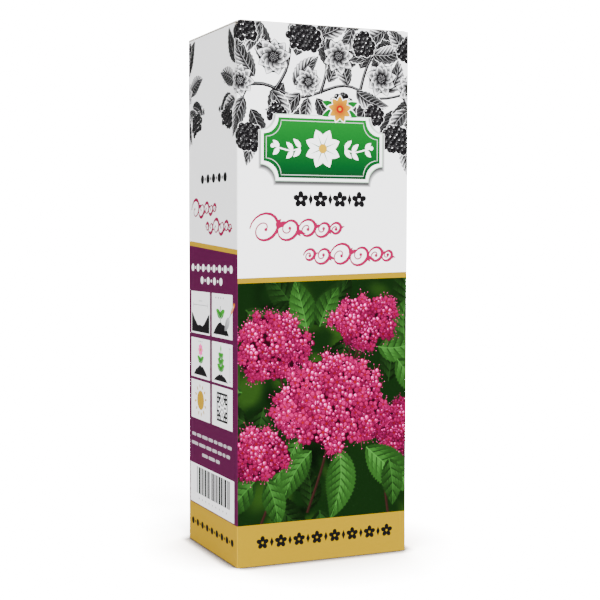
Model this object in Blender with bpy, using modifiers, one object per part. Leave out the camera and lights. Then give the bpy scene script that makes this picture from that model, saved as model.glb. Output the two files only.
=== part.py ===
"""A tall folding carton of thin board, closed and standing upright.

The carton is one blank in real life, folded and glued. Here every panel and flap between
two creases is its own flat piece of board, with a hairline gap where the crease would be:
the sleeve's walls and its glue flap, the glued base, and the tuck closure at the top, whose
lid, tuck flap and dust flaps turn on their creases.

Units are metres. +X is to the right of the front, +Y is to the back and +Z is up. The
origin is the middle of the underside.
"""

import math

import bpy
from mathutils import Vector

# Outer size of the closed carton and thickness of its board.
WIDTH = 0.085
DEPTH = 0.062
HEIGHT = 0.240
BOARD = 0.0005

# Clearance that stands for a crease between two pieces of board.
CREASE_GAP = 0.0003

# Rounding of the sleeve's upright folds, as far as the board's thickness allows.
FOLD_RADIUS = 0.0004
FOLD_SEGMENTS = 3

# Seam of the sleeve: a narrow flap glued behind the back panel.
GLUE_FLAP_WIDTH = 0.012
GLUE_FLAP_END_TAPER = 0.006
GLUE_FLAP_BASE_MARGIN = 0.004
GLUE_FLAP_TOP_MARGIN = 0.004

# Top closure.
TUCK_LENGTH = 0.015
TUCK_LEAN = math.radians(11.0)
TUCK_SIDE_MARGIN = 0.0015
TUCK_CORNER_RADIUS = 0.008
DUST_LENGTH = 0.036
DUST_FRONT_SHOULDER = 0.003
DUST_FRONT_TAPER = 0.003
DUST_BACK_MARGIN = 0.0010
DUST_BACK_TAPER = 0.54
DUST_CORNER_RADIUS = 0.005

# Glued base, from the table up: outer panel, inner flap, and a dust flap from each side.
BASE_INNER_REACH = 0.046
BASE_INNER_TAPER = 0.006
BASE_DUST_LENGTH = 0.032
BASE_DUST_TAPER = 0.008
BASE_CORNER_RADIUS = 0.004

ARC_STEPS = 6

# Levels and faces that the sizes above give.
HALF_WIDTH = WIDTH / 2
HALF_DEPTH = DEPTH / 2
STEP = BOARD + CREASE_GAP
SLEEVE_BOTTOM = STEP
LID_MIDDLE = HEIGHT - BOARD / 2
DUST_MIDDLE = LID_MIDDLE - STEP
BACK_TOP = HEIGHT - STEP
SIDE_TOP = HEIGHT - 2 * STEP
LID_HINGE = Vector((0, HALF_DEPTH - BOARD / 2, LID_MIDDLE))
TUCK_CREASE = Vector((0, -HALF_DEPTH + STEP + BOARD / 2, LID_MIDDLE))

WHITE_BOARD = (0.86, 0.87, 0.88)
PURPLE_PRINT = (0.16, 0.01, 0.12)
GREEN_PRINT = (0.05, 0.12, 0.03)
YELLOW_PRINT = (0.95, 0.62, 0.02)
RAW_BOARD = (0.62, 0.58, 0.52)


def clear_scene():
    """Remove every object that the file starts with."""
    for item in list(bpy.data.objects):
        bpy.data.objects.remove(item)


def new_collection(name):
    """Make a collection and link it to the scene."""
    collection = bpy.data.collections.new(name)
    bpy.context.scene.collection.children.link(collection)
    return collection


def board_material(name, colour, roughness):
    """Make the Principled material of one piece of board."""
    material = bpy.data.materials.new(name)
    material.use_nodes = True
    shader = material.node_tree.nodes["Principled BSDF"]
    shader.inputs["Base Color"].default_value = (*colour, 1.0)
    shader.inputs["Roughness"].default_value = roughness
    shader.inputs["Metallic"].default_value = 0.0
    return material


def finish(piece, name, collection, colour, roughness):
    """Name a piece, give it its material and move it to the carton's collection."""
    piece.name = name
    piece.data.name = name
    piece.data.materials.append(board_material(name, colour, roughness))
    for owner in list(piece.users_collection):
        owner.objects.unlink(piece)
    collection.objects.link(piece)
    return piece


def wall(name, low, high, collection, colour, folded_y=None):
    """Make an upright wall as a thin box between two corners.

    Where folded_y is -1 or 1, the upright edges on that outer face are rounded as folds.
    """
    low = Vector(low)
    high = Vector(high)
    bpy.ops.mesh.primitive_cube_add(size=1.0, location=(low + high) / 2)
    piece = bpy.context.object
    piece.scale = high - low
    bpy.ops.object.transform_apply(location=False, rotation=False, scale=True)
    if folded_y is not None:
        round_folds(piece, folded_y)
    return finish(piece, name, collection, colour, 0.35)


def round_folds(piece, folded_y):
    """Bevel the upright edges that lie on one outer face of a wall."""
    mesh = piece.data
    weights = mesh.attributes.new("bevel_weight_edge", "FLOAT", "EDGE")
    for edge in mesh.edges:
        first, second = (mesh.vertices[index].co for index in edge.vertices)
        upright = abs(first.z - second.z) > BOARD
        outer = first.y * folded_y > 0 and second.y * folded_y > 0
        weights.data[edge.index].value = 1.0 if upright and outer else 0.0
    bevel = piece.modifiers.new("fold", "BEVEL")
    bevel.limit_method = "WEIGHT"
    bevel.width = FOLD_RADIUS
    bevel.segments = FOLD_SEGMENTS


def rounded_outline(corners):
    """Turn (x, y, radius) corners into the points of an outline with arcs at its corners."""
    points = []
    for index, (x, y, radius) in enumerate(corners):
        corner = Vector((x, y))
        if radius == 0:
            points.append(corner)
            continue
        before = (Vector(corners[index - 1][:2]) - corner).normalized()
        after = (Vector(corners[(index + 1) % len(corners)][:2]) - corner).normalized()
        half_angle = before.angle(after) / 2
        tangent = radius / math.tan(half_angle)
        centre = corner + (before + after).normalized() * (radius / math.sin(half_angle))
        start = corner + before * tangent - centre
        turn = start.angle_signed(corner + after * tangent - centre)
        for step in range(ARC_STEPS + 1):
            angle = -turn * step / ARC_STEPS
            points.append(centre + Vector((
                start.x * math.cos(angle) - start.y * math.sin(angle),
                start.x * math.sin(angle) + start.y * math.cos(angle),
            )))
    return points


def flap(name, corners, location, collection, colour, rotation=(0, 0, 0)):
    """Make a flat flap from its outline; its object's origin lies on the flap's crease."""
    curve = bpy.data.curves.new(name, "CURVE")
    curve.dimensions = "2D"
    curve.fill_mode = "BOTH"
    curve.extrude = BOARD / 2
    points = rounded_outline(corners)
    spline = curve.splines.new("POLY")
    spline.points.add(len(points) - 1)
    for target, point in zip(spline.points, points):
        target.co = (point.x, point.y, 0.0, 1.0)
    spline.use_cyclic_u = True
    piece = bpy.data.objects.new(name, curve)
    bpy.context.scene.collection.objects.link(piece)
    piece.location = location
    piece.rotation_euler = rotation
    return finish(piece, name, collection, colour, 0.5)


def build_sleeve(collection):
    """Build the walls round the carton and the glue flap at its back right seam."""
    wall("front_panel", (-HALF_WIDTH, -HALF_DEPTH, SLEEVE_BOTTOM),
         (HALF_WIDTH, -HALF_DEPTH + BOARD, HEIGHT), collection, GREEN_PRINT, folded_y=-1)
    wall("back_panel", (-HALF_WIDTH, HALF_DEPTH - BOARD, SLEEVE_BOTTOM),
         (HALF_WIDTH, HALF_DEPTH, BACK_TOP), collection, GREEN_PRINT, folded_y=1)
    reach = HALF_DEPTH - STEP
    wall("left_panel", (-HALF_WIDTH, -reach, SLEEVE_BOTTOM),
         (-HALF_WIDTH + BOARD, reach, SIDE_TOP), collection, PURPLE_PRINT)
    wall("right_panel", (HALF_WIDTH - BOARD, -reach, SLEEVE_BOTTOM),
         (HALF_WIDTH, reach, SIDE_TOP), collection, PURPLE_PRINT)
    low = SLEEVE_BOTTOM + GLUE_FLAP_BASE_MARGIN
    high = SIDE_TOP - GLUE_FLAP_TOP_MARGIN
    corners = [
        (0, low, 0),
        (0, high, 0),
        (-GLUE_FLAP_WIDTH, high - GLUE_FLAP_END_TAPER, 0),
        (-GLUE_FLAP_WIDTH, low + GLUE_FLAP_END_TAPER, 0),
    ]
    seam = (HALF_WIDTH - STEP, HALF_DEPTH - STEP - BOARD / 2, 0)
    flap("glue_flap", corners, seam, collection, RAW_BOARD, rotation=(math.pi / 2, 0, 0))


def build_base(collection):
    """Build the glued base: the outer panel, the inner flap and the dust flaps over it."""
    wall("base_panel", (-HALF_WIDTH, -HALF_DEPTH, 0), (HALF_WIDTH, HALF_DEPTH, BOARD),
         collection, YELLOW_PRINT)
    side = HALF_WIDTH - STEP
    corners = [
        (-side, 0, 0),
        (-side + BASE_INNER_TAPER, -BASE_INNER_REACH, BASE_CORNER_RADIUS),
        (side - BASE_INNER_TAPER, -BASE_INNER_REACH, BASE_CORNER_RADIUS),
        (side, 0, 0),
    ]
    level = STEP + BOARD / 2
    flap("base_inner_flap", corners, (0, HALF_DEPTH - STEP, level), collection, RAW_BOARD)
    reach = HALF_DEPTH - STEP
    for name, sign in (("base_dust_flap_left", 1), ("base_dust_flap_right", -1)):
        tip = sign * BASE_DUST_LENGTH
        corners = [
            (0, -reach, 0),
            (tip, -reach + BASE_DUST_TAPER, BASE_CORNER_RADIUS),
            (tip, reach - BASE_DUST_TAPER, BASE_CORNER_RADIUS),
            (0, reach, 0),
        ]
        crease = (-sign * side, 0, level + STEP)
        flap(name, corners, crease, collection, RAW_BOARD)


def build_lid(collection):
    """Build the lid, which turns on the back panel's top crease, and its tuck flap."""
    side = HALF_WIDTH - CREASE_GAP
    front = TUCK_CREASE.y - BOARD / 2 - LID_HINGE.y
    corners = [
        (-side, BOARD / 2, 0),
        (side, BOARD / 2, 0),
        (side, front, 0),
        (-side, front, 0),
    ]
    flap("lid_panel", corners, LID_HINGE, collection, WHITE_BOARD)
    side -= TUCK_SIDE_MARGIN
    root = BOARD / 2 + CREASE_GAP
    corners = [
        (-side, root, 0),
        (side, root, 0),
        (side, TUCK_LENGTH, TUCK_CORNER_RADIUS),
        (-side, TUCK_LENGTH, TUCK_CORNER_RADIUS),
    ]
    hanging = (TUCK_LEAN - math.pi / 2, 0, 0)
    flap("tuck_flap", corners, TUCK_CREASE, collection, WHITE_BOARD, rotation=hanging)


def build_dust_flaps(collection):
    """Build the flaps that fold in under the lid.

    Their back edge is cut away at a slant, so the lid always swings clear above it.
    """
    front = -HALF_DEPTH + DUST_FRONT_SHOULDER
    back = HALF_DEPTH - STEP - DUST_BACK_MARGIN
    for name, sign in (("dust_flap_left", 1), ("dust_flap_right", -1)):
        tip = sign * DUST_LENGTH
        corners = [
            (-sign * BOARD / 2, front, 0),
            (tip, front + DUST_FRONT_TAPER, DUST_CORNER_RADIUS),
            (tip, back - DUST_BACK_TAPER * DUST_LENGTH, DUST_CORNER_RADIUS),
            (-sign * BOARD / 2, back, 0),
        ]
        crease = (-sign * (HALF_WIDTH - BOARD / 2), 0, DUST_MIDDLE)
        flap(name, corners, crease, collection, WHITE_BOARD)


def main():
    """Build the closed carton."""
    clear_scene()
    carton = new_collection("folding_carton")
    build_sleeve(carton)
    build_base(carton)
    build_lid(carton)
    build_dust_flaps(carton)


main()
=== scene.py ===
"""Dressed scene of a tall printed folding carton, closed and standing on a pale floor.

The four walls and the lid are closed solids of 0.5 mm board whose outer face is cut up along
the printed shapes, so the print is part of the mesh: each corner of each face keeps its own
ink in the attribute "ink", and the materials turn that into coated or bare board. The print is
laid out in millimetres on the flat blank and then folded: x runs round the carton from the
front's left fold, and z runs up from the table. The scene's units are metres, in the CAD frame.
"""

import logging
import math
import random
from dataclasses import dataclass, field
from enum import Enum
from typing import Callable, Iterable, Sequence

import bpy
import numpy as np
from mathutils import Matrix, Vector
from mathutils.geometry import delaunay_2d_cdt


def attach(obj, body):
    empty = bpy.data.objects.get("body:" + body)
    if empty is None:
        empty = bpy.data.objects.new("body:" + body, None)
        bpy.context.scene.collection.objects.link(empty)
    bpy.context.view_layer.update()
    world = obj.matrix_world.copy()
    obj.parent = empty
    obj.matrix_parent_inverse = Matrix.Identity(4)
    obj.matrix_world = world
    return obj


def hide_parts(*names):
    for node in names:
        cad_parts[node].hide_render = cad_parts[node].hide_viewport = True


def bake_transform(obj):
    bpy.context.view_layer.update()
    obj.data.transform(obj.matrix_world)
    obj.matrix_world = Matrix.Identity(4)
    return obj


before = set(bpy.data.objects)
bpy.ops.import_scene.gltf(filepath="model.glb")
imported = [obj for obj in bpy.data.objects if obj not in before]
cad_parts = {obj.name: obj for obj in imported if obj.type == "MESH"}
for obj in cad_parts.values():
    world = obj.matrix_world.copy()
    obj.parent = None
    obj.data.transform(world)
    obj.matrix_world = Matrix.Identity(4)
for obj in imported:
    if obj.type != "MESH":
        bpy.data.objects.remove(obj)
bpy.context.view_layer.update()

log = logging.getLogger("carton")

MM = 0.001
TURN = 2 * math.pi
WIDE, DEEP, HIGH, BOARD = 85.0, 62.0, 240.0, 0.5
FOOT, FOOT_EDGE = -1.0, 18.7
LEAST_AREA = 0.0004
JOINED = 1e-5
FAR = 900.0
STRAIGHT = 0.002
RAW_TONE = (0.62, 0.585, 0.52)
BARE = (0.6, 0.57, 0.52, 0.0)

Point = tuple[float, float]
Ink = tuple[float, float, float]
Line = list[Point]


class Body(Enum):
    """The moving bodies of the carton."""

    CARTON = "carton"
    LID = "lid"
    TUCK = "tuck"
    DUST_LEFT = "dust_left"
    DUST_RIGHT = "dust_right"


class Slot(Enum):
    """The finishes of the printed walls and lid, by the names of their materials."""

    FRONT = "front_print"
    BACK = "back_print"
    SIDE = "side_print"
    END = "end_print"


@dataclass(frozen=True)
class Inks:
    """Printing inks as base colours, matched to the studio's light and Blender's own view."""

    paper: Ink = (0.90, 0.905, 0.92)
    black: Ink = (0.0040, 0.0036, 0.0042)
    grey: Ink = (0.25, 0.25, 0.27)
    yellow: Ink = (0.245, 0.152, 0.0001)
    # the broad walls' yellow ink, painted lighter to make up for the weaker light on the narrow walls
    yellow_side_painted_lighter: Ink = (0.40, 0.238, 0.0002)
    purple: Ink = (0.076, 0.0001, 0.038)
    script: Ink = (0.215, 0.0004, 0.040)
    green_deep: Ink = (0.0006, 0.0028, 0.0004)
    green_dark: Ink = (0.0016, 0.0110, 0.0010)
    green_back: Ink = (0.0105, 0.0350, 0.0030)
    green_leaf: Ink = (0.0120, 0.0540, 0.0065)
    green_light: Ink = (0.034, 0.142, 0.020)
    crimson: Ink = (0.0330, 0.0001, 0.0060)
    magenta: Ink = (0.115, 0.0001, 0.0210)
    pink: Ink = (0.185, 0.0001, 0.0400)
    pink_light: Ink = (0.30, 0.0003, 0.085)
    pink_pale: Ink = (0.72, 0.035, 0.30)
    petal: Ink = (0.95, 0.09, 0.40)
    glint: Ink = (0.95, 0.30, 0.62)
    stem: Ink = (0.0230, 0.0075, 0.0055)
    plaque_dark: Ink = (0.0014, 0.0300, 0.0072)
    plaque_light: Ink = (0.0015, 0.1194, 0.0120)
    plaque_rim: Ink = (0.42, 0.63, 0.44)
    red: Ink = (0.262, 0.0005, 0.0003)
    sprout: Ink = (0.0211, 0.357, 0.0017)
    sprout_dark: Ink = (0.0124, 0.1126, 0.0118)
    sun: Ink = (0.42, 0.24, 0.0005)
    wood: Ink = (0.66, 0.184, 0.004)
    soil: Ink = (0.0053, 0.0044, 0.0059)
    water: Ink = (0.03, 0.22, 0.62)
    steel: Ink = (0.42, 0.42, 0.44)
    steel_dark: Ink = (0.16, 0.16, 0.17)
    steel_light: Ink = (0.55, 0.55, 0.57)
    iron: Ink = (0.12, 0.12, 0.13)
    month: Ink = (0.5, 0.5, 0.52)


INK = Inks()


def mix(first: Ink, second: Ink, share: float) -> Ink:
    """Blend two inks, with the share of the second held between 0 and 1."""
    share = min(1.0, max(0.0, share))
    return tuple(a + (b - a) * share for a, b in zip(first, second))


def scale(ink: Ink, factor: float) -> Ink:
    """Return an ink made lighter or darker by a factor."""
    return tuple(min(1.0, part * factor) for part in ink)


def polar(centre: Point, radius: float, angle: float) -> Point:
    """Return the point at a radius and an angle from a centre."""
    return (centre[0] + radius * math.cos(angle), centre[1] + radius * math.sin(angle))


def along(start: Point, end: Point, share: float) -> Point:
    """Return the point at a share of the way between two points."""
    return (start[0] + (end[0] - start[0]) * share, start[1] + (end[1] - start[1]) * share)


def aside(start: Point, end: Point, reach: float) -> Point:
    """Return the step of a given reach to the left of a line.

    Args:
        start: Where the line starts.
        end: Where it ends.
        reach: Length of the step.

    Returns:
        The step across and up.
    """
    dx, dz = end[0] - start[0], end[1] - start[1]
    size = math.hypot(dx, dz) or 1.0
    return (-dz / size * reach, dx / size * reach)


def twice_area(points: Sequence[Point]) -> float:
    """Return twice the area inside an outline, above zero where it turns anticlockwise."""
    pairs = [(points[i - 1], points[i]) for i in range(len(points))]
    return sum(a[0] * b[1] - b[0] * a[1] for a, b in pairs)


@dataclass(frozen=True)
class Flat:
    """One ink all over a shape."""

    ink: Ink

    def at(self, x: float, z: float) -> Ink:
        """Return the ink at a point of the blank."""
        return self.ink


@dataclass(frozen=True)
class Fade:
    """An ink that turns evenly into another between two points."""

    start: Point
    end: Point
    near: Ink
    far: Ink

    def at(self, x: float, z: float) -> Ink:
        """Return the ink at a point of the blank."""
        dx, dz = self.end[0] - self.start[0], self.end[1] - self.start[1]
        share = ((x - self.start[0]) * dx + (z - self.start[1]) * dz) / (dx * dx + dz * dz)
        return mix(self.near, self.far, share)


@dataclass(frozen=True)
class Wash:
    """An ink given by a function of the place on the blank."""

    tone: Callable[[float, float], Ink]

    def at(self, x: float, z: float) -> Ink:
        """Return the ink at a point of the blank."""
        return self.tone(x, z)


Paint = Flat | Fade | Wash


class Artwork:
    """Printed shapes on the flat blank, each laid over the ones before it."""

    def __init__(self) -> None:
        """Start with bare white board."""
        self.shapes: list[tuple[Line, Paint]] = []
        self.lattice: Line = []

    def fill(self, outline: Iterable[Point], paint: Paint) -> None:
        """Lay one closed shape, turned anticlockwise.

        Args:
            outline: Corners of the shape.
            paint: Its ink.
        """
        points = list(outline)
        area = twice_area(points)
        if abs(area) > LEAST_AREA:
            self.shapes.append((points if area > 0 else points[::-1], paint))

    def box(self, x0: float, z0: float, x1: float, z1: float, paint: Paint) -> None:
        """Lay an upright rectangle."""
        self.fill([(x0, z0), (x1, z0), (x1, z1), (x0, z1)], paint)

    def disc(
        self, centre: Point, radius: float, paint: Paint, sides: int = 8, squash: float = 1.0, turn: float = 0.0
    ) -> None:
        """Lay a round or oval spot.

        Args:
            centre: Its middle.
            radius: Its half length along the turned axis.
            paint: Its ink.
            sides: Number of corners.
            squash: Half width as a share of the half length.
            turn: Angle of the long axis.
        """
        cos, sin = math.cos(turn), math.sin(turn)
        points = []
        for k in range(sides):
            a, b = radius * math.cos(TURN * k / sides), radius * squash * math.sin(TURN * k / sides)
            points.append((centre[0] + a * cos - b * sin, centre[1] + a * sin + b * cos))
        self.fill(points, paint)

    def petal(
        self, base: Point, tip: Point, width: float, paint: Paint, bend: float = 0.0, points: int = 9
    ) -> None:
        """Lay a plain leaf shape from its base to its tip."""
        self.fill(LeafForm(base, tip, width, bend, points=points).rim(), paint)

    def hair(self, start: Point, end: Point, width: float, paint: Paint) -> None:
        """Lay a straight line that tapers to a point at its end."""
        nx, nz = aside(start, end, width / 2)
        self.fill([(start[0] + nx, start[1] + nz), (start[0] - nx, start[1] - nz), end], paint)

    def stroke(self, line: Sequence[Point], widths: Sequence[float] | float, paint: Paint) -> None:
        """Lay a line of changing width as a row of four-sided shapes.

        Args:
            line: Points that the line runs through.
            widths: One width for all, or one for each point.
            paint: Its ink.
        """
        if isinstance(widths, (int, float)):
            widths = [widths] * len(line)
        sides = []
        for k, (x, z) in enumerate(line):
            nx, nz = aside(line[max(k - 1, 0)], line[min(k + 1, len(line) - 1)], widths[k] / 2)
            sides.append(((x + nx, z + nz), (x - nx, z - nz)))
        for (a, b), (c, d) in zip(sides, sides[1:]):
            self.fill([a, b, d, c], paint)


def curve(points: Sequence[Point], steps: int = 6) -> Line:
    """Draw a smooth line through points.

    Args:
        points: Points to pass through.
        steps: Pieces between one point and the next.

    Returns:
        Points of the smooth line.
    """
    ends = [points[0], *points, points[-1]]
    line = []
    for quad in zip(ends, ends[1:], ends[2:], ends[3:]):
        for t in (k / steps for k in range(steps)):
            spot = []
            for a, b, c, d in zip(*quad):
                bow = (2 * a - 5 * b + 4 * c - d) * t * t + (3 * b - a - 3 * c + d) * t**3
                spot.append(0.5 * (2 * b + (c - a) * t + bow))
            line.append(tuple(spot))
    return [*line, tuple(points[-1])]


def swell(count: int, widest: float, thinnest: float = 0.1, peak: float = 0.5) -> list[float]:
    """Return widths that swell to a peak and thin again, as a pen's line does.

    Args:
        count: Number of widths.
        widest: Width at the peak.
        thinnest: Width at both ends.
        peak: Place of the peak as a share of the line.

    Returns:
        The widths.
    """
    widths = []
    for t in (k / max(count - 1, 1) for k in range(count)):
        reach = t / peak if t < peak else (1 - t) / (1 - peak)
        widths.append(thinnest + (widest - thinnest) * math.sin(reach * math.pi / 2) ** 1.4)
    return widths


@dataclass
class LeafForm:
    """Outline of one leaf: a bent midrib and a half width that follows a profile."""

    base: Point
    tip: Point
    width: float
    bend: float = 0.0
    teeth: int = 0
    points: int = 9

    def spine(self, t: float) -> Point:
        """Return the point of the midrib at a share of its length."""
        x, z = along(self.base, self.tip, t)
        lift = self.bend * 4 * t * (1 - t)
        return (x - (self.tip[1] - self.base[1]) * lift, z + (self.tip[0] - self.base[0]) * lift)

    def edge(self, t: float, side: int, reach: float = 1.0) -> Point:
        """Return a point beside the midrib.

        Args:
            t: Share of the leaf's length.
            side: 1 for the left half as seen from the base, -1 for the right.
            reach: Share of the half width.

        Returns:
            The point on the blank.
        """
        half = self.width / 2 * math.sin(math.pi * min(max(t, 0.0), 1.0) ** 0.82) ** 0.85
        nx, nz = aside(self.spine(max(t - 0.02, 0)), self.spine(min(t + 0.02, 1)), half * reach * side)
        x, z = self.spine(t)
        return (x + nx, z + nz)

    def border(self, side: int, notch: float) -> Line:
        """Return the edge of one half from base to tip, with every other point of a toothed one held in."""
        count = self.teeth * 2 or self.points
        return [self.edge(k / count, side, notch if self.teeth and k % 2 else 1.0) for k in range(1, count)]

    def half(self, side: int) -> Line:
        """Return the outline of one half, from the base along the edge and back on the midrib."""
        back = [self.spine(k / 5) for k in range(4, 0, -1)]
        return [self.spine(0), *self.border(side, 0.9), self.spine(1), *back]

    def rim(self) -> Line:
        """Return the whole outline."""
        return [self.spine(0), *self.border(1, 0.88), self.spine(1), *self.border(-1, 0.88)[::-1]]


class Engraver:
    """Draws plants in the tones and lines of an engraving, black on white."""

    def __init__(self, art: Artwork, seed: int) -> None:
        """Keep the sheet to draw on and the order of random draws."""
        self.art = art
        self.draw = random.Random(seed)
        self.black, self.white = Flat(INK.black), Flat(INK.paper)

    @staticmethod
    def tone(value: float) -> Ink:
        """Return a neutral tone."""
        return (value, value, value * 1.03)

    def leaf(
        self, base: Point, angle: float, length: float, width: float, bend: float = 0.1, dark: bool = False
    ) -> None:
        """Draw a long toothed leaf with veins, one half in shade.

        Args:
            base: Where it grows from.
            angle: Direction, in degrees.
            length: Length in mm.
            width: Width in mm.
            bend: Sideways bow as a share of the length.
            dark: Whether it is nearly black, as a leaf behind the others is.
        """
        tip = polar(base, length, math.radians(angle))
        teeth, veins = max(6, int(length / 1.9)), max(5, int(length / 2.2))
        step = 1 / (veins + 0.8)
        self.art.fill(LeafForm(base, along(base, tip, 1.02), width * 1.09, bend, teeth).rim(), self.white)
        form = LeafForm(base, tip, width, bend, teeth)
        self.art.fill(form.rim(), self.black)
        shady = self.draw.choice((1, -1))
        for side in (1, -1):
            shade = dark or side == shady
            root, rim = (0.004, 0.018) if shade else (0.012, 0.24)
            glow = 0.06 if dark else 0.14 if shade else 0.75
            inner = [form.spine(0.03), *(form.edge(k / 9, side, 0.9) for k in range(1, 9))]
            inner += [form.spine(k / 4 * 0.97) for k in range(4, 0, -1)]
            middle, out = form.edge(0.5, side, 0.0), form.edge(0.5, side, 0.95)
            self.art.fill(inner, Fade(middle, out, self.tone(root), self.tone(rim)))
            for k in range(veins):
                t = (k + 0.5) * step
                foot, end = form.spine(t), form.edge(min(t + 0.2, 0.97), side, 0.95)
                if shade:
                    self.art.hair(foot, end, 0.18 if dark else 0.24, Flat(self.tone(0.12 if dark else 0.26)))
                else:
                    self.art.hair(foot, end, 0.8, self.black)
                lit = form.edge(min(t + 0.28, 0.95), side, 0.9)
                inward = form.edge(t + 0.1, side, 0.5 if shade else 0.22)
                self.art.hair(lit, inward, 0.3 if shade else 0.55, Flat(self.tone(glow)))
        ribs = [form.spine(k / 6 * 0.98) for k in range(7)]
        self.art.stroke(ribs, swell(7, 0.8, 0.3, 0.2), self.black)
        self.art.stroke(ribs, swell(7, 0.22, 0.05, 0.2), Flat(self.tone(0.3)))

    def daisy(self, centre: Point, radius: float, petals: int = 9) -> None:
        """Draw a many-petalled flower seen from above, dark towards its stippled eye.

        Args:
            centre: Its middle.
            radius: Reach of its longest petals.
            petals: Number of petals in each of its two rings.
        """
        start = self.draw.uniform(0, TURN)
        self.art.disc(centre, radius * 0.8, self.black, 18)
        for ring, share, girth in ((0, 1.0, 0.92), (1, 0.72, 0.8)):
            for k in range(petals):
                angle = start + TURN * (k + 0.5 * ring) / petals + self.draw.uniform(-0.06, 0.06)
                size = radius * share * self.draw.uniform(0.92, 1.06)
                root, tip = polar(centre, radius * 0.12, angle), polar(centre, size, angle)
                form = LeafForm(root, tip, TURN * radius / petals * girth, self.draw.uniform(-0.06, 0.06))
                self.art.fill(form.rim(), self.black)
                for reach, slim, near, far, dark, pale in (
                    (0.965, 0.86, 0.25, 0.95, 0.03, 0.80), (0.78, 0.6, 0.15, 0.8, 0.005, 0.22)
                ):
                    fade = Fade(along(root, tip, near), along(root, tip, far), self.tone(dark), self.tone(pale))
                    self.art.petal(root, along(root, tip, reach), form.width * slim, fade, form.bend)
                for side, reach in ((1, 0.9), (1, 0.45), (-1, 0.1), (-1, 0.6)):
                    end = form.edge(self.draw.uniform(0.66, 0.86), side, reach * 0.72)
                    self.art.hair(form.edge(0.1, side, reach * 0.5), end, 0.6, self.black)
        eye, dots = radius * 0.25, 30
        self.art.disc(centre, eye + 0.5, self.black, 14)
        for k in range(dots):
            spot = polar(centre, eye * math.sqrt((k + 0.5) / dots) * 0.95, k * 2.4)
            self.art.disc(spot, 0.13, Flat(self.tone(0.5)), 4)

    def berry(self, centre: Point, radius: float) -> None:
        """Draw one dark round berry with a lit rim and a glint.

        Args:
            centre: Its middle.
            radius: Its radius.
        """
        turn = math.radians(self.draw.uniform(110, 150))
        self.art.disc(polar(centre, 0.1, turn), radius, Flat(self.tone(0.13)), 11)
        self.art.disc(centre, radius, self.black, 11)
        glint = [polar(centre, radius * 0.70, turn + a) for a in (-0.42, 0.0, 0.42)]
        glint += [polar(centre, radius * 0.48, turn + a) for a in (0.26, -0.26)]
        self.art.fill(glint, self.white if self.draw.random() < 0.25 else Flat(self.tone(0.16)))
        self.art.disc(polar(centre, radius * 0.55, turn + 2.7), radius * 0.16, Flat(self.tone(0.05)), 5)

    def bunch(self, top: Point, angle: float, count: int, radius: float = 1.35) -> None:
        """Draw a hanging bunch of berries on short stalks.

        Args:
            top: Where it hangs from.
            angle: Direction that it hangs in, in degrees.
            count: Number of berries, more or less.
            radius: Radius of a berry.
        """
        lean = math.radians(angle)
        places = []
        rows = max(3, int(math.sqrt(count) + 1.2))
        for row in range(rows):
            fill = 0.55 + 1.1 * math.sin(math.pi * (row + 0.9) / (rows + 1.1))
            across = max(1, round((count / rows) * fill))
            for k in range(across):
                ahead = polar(top, (1.3 + row * 1.5) * radius, lean)
                spot = polar(ahead, (k - (across - 1) / 2) * radius * 1.6, lean + math.pi / 2)
                places.append(tuple(part + self.draw.uniform(-0.4, 0.4) * radius for part in spot))
        for spot in places:
            self.art.disc(spot, radius * 1.3, self.white, 9)
        for spot in places:
            self.art.disc(spot, radius * 1.2, self.black, 8)
            self.art.stroke([top, along(top, spot, 0.5), spot], 0.7, self.black)
        for spot in places:
            self.berry(spot, radius * self.draw.uniform(0.84, 1.12))

    def stem(self, points: Sequence[Point], width: float = 1.7) -> None:
        """Draw a dark woody stem with a thin lit edge.

        Args:
            points: Points that it runs through.
            width: Its width at the start.
        """
        line = curve(points, 5)
        widths = [width * (1 - 0.4 * k / len(line)) for k in range(len(line))]
        self.art.stroke(line, widths, self.black)
        self.art.stroke([(x - 0.1, z + 0.2) for x, z in line], [w * 0.12 for w in widths], Flat(self.tone(0.2)))

    def sprig(self, base: Point, angle: float, length: float, pairs: int = 5) -> None:
        """Draw a fine twig with small paired leaves and a bud at its end.

        Args:
            base: Where it grows from.
            angle: Direction, in degrees.
            length: Length in mm.
            pairs: Number of pairs of leaves.
        """
        lean = math.radians(angle)
        tip = polar(base, length, lean)
        middle = along(base, tip, 0.5)
        middle = (middle[0] - 0.08 * (tip[1] - base[1]), middle[1] + 0.08 * (tip[0] - base[0]))
        line = curve([base, middle, tip], 4)
        self.art.stroke(line, 0.7, self.black)
        for k in range(1, pairs + 1):
            spot = line[min(int(k * len(line) / (pairs + 1)), len(line) - 1)]
            size = length * 0.3 * (1.15 - 0.5 * k / pairs)
            for side, pale in ((1, 0.08), (-1, 0.3)):
                end = polar(spot, size, lean + side * 0.85)
                self.art.petal(spot, end, size * 0.52, self.black, points=6)
                fade = Fade(spot, end, self.tone(0.01), self.tone(pale))
                self.art.petal(along(spot, end, 0.1), along(spot, end, 0.86), size * 0.3, fade, points=5)
        self.art.disc(tip, 1.0, self.black, 8, 0.7, lean)


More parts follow.
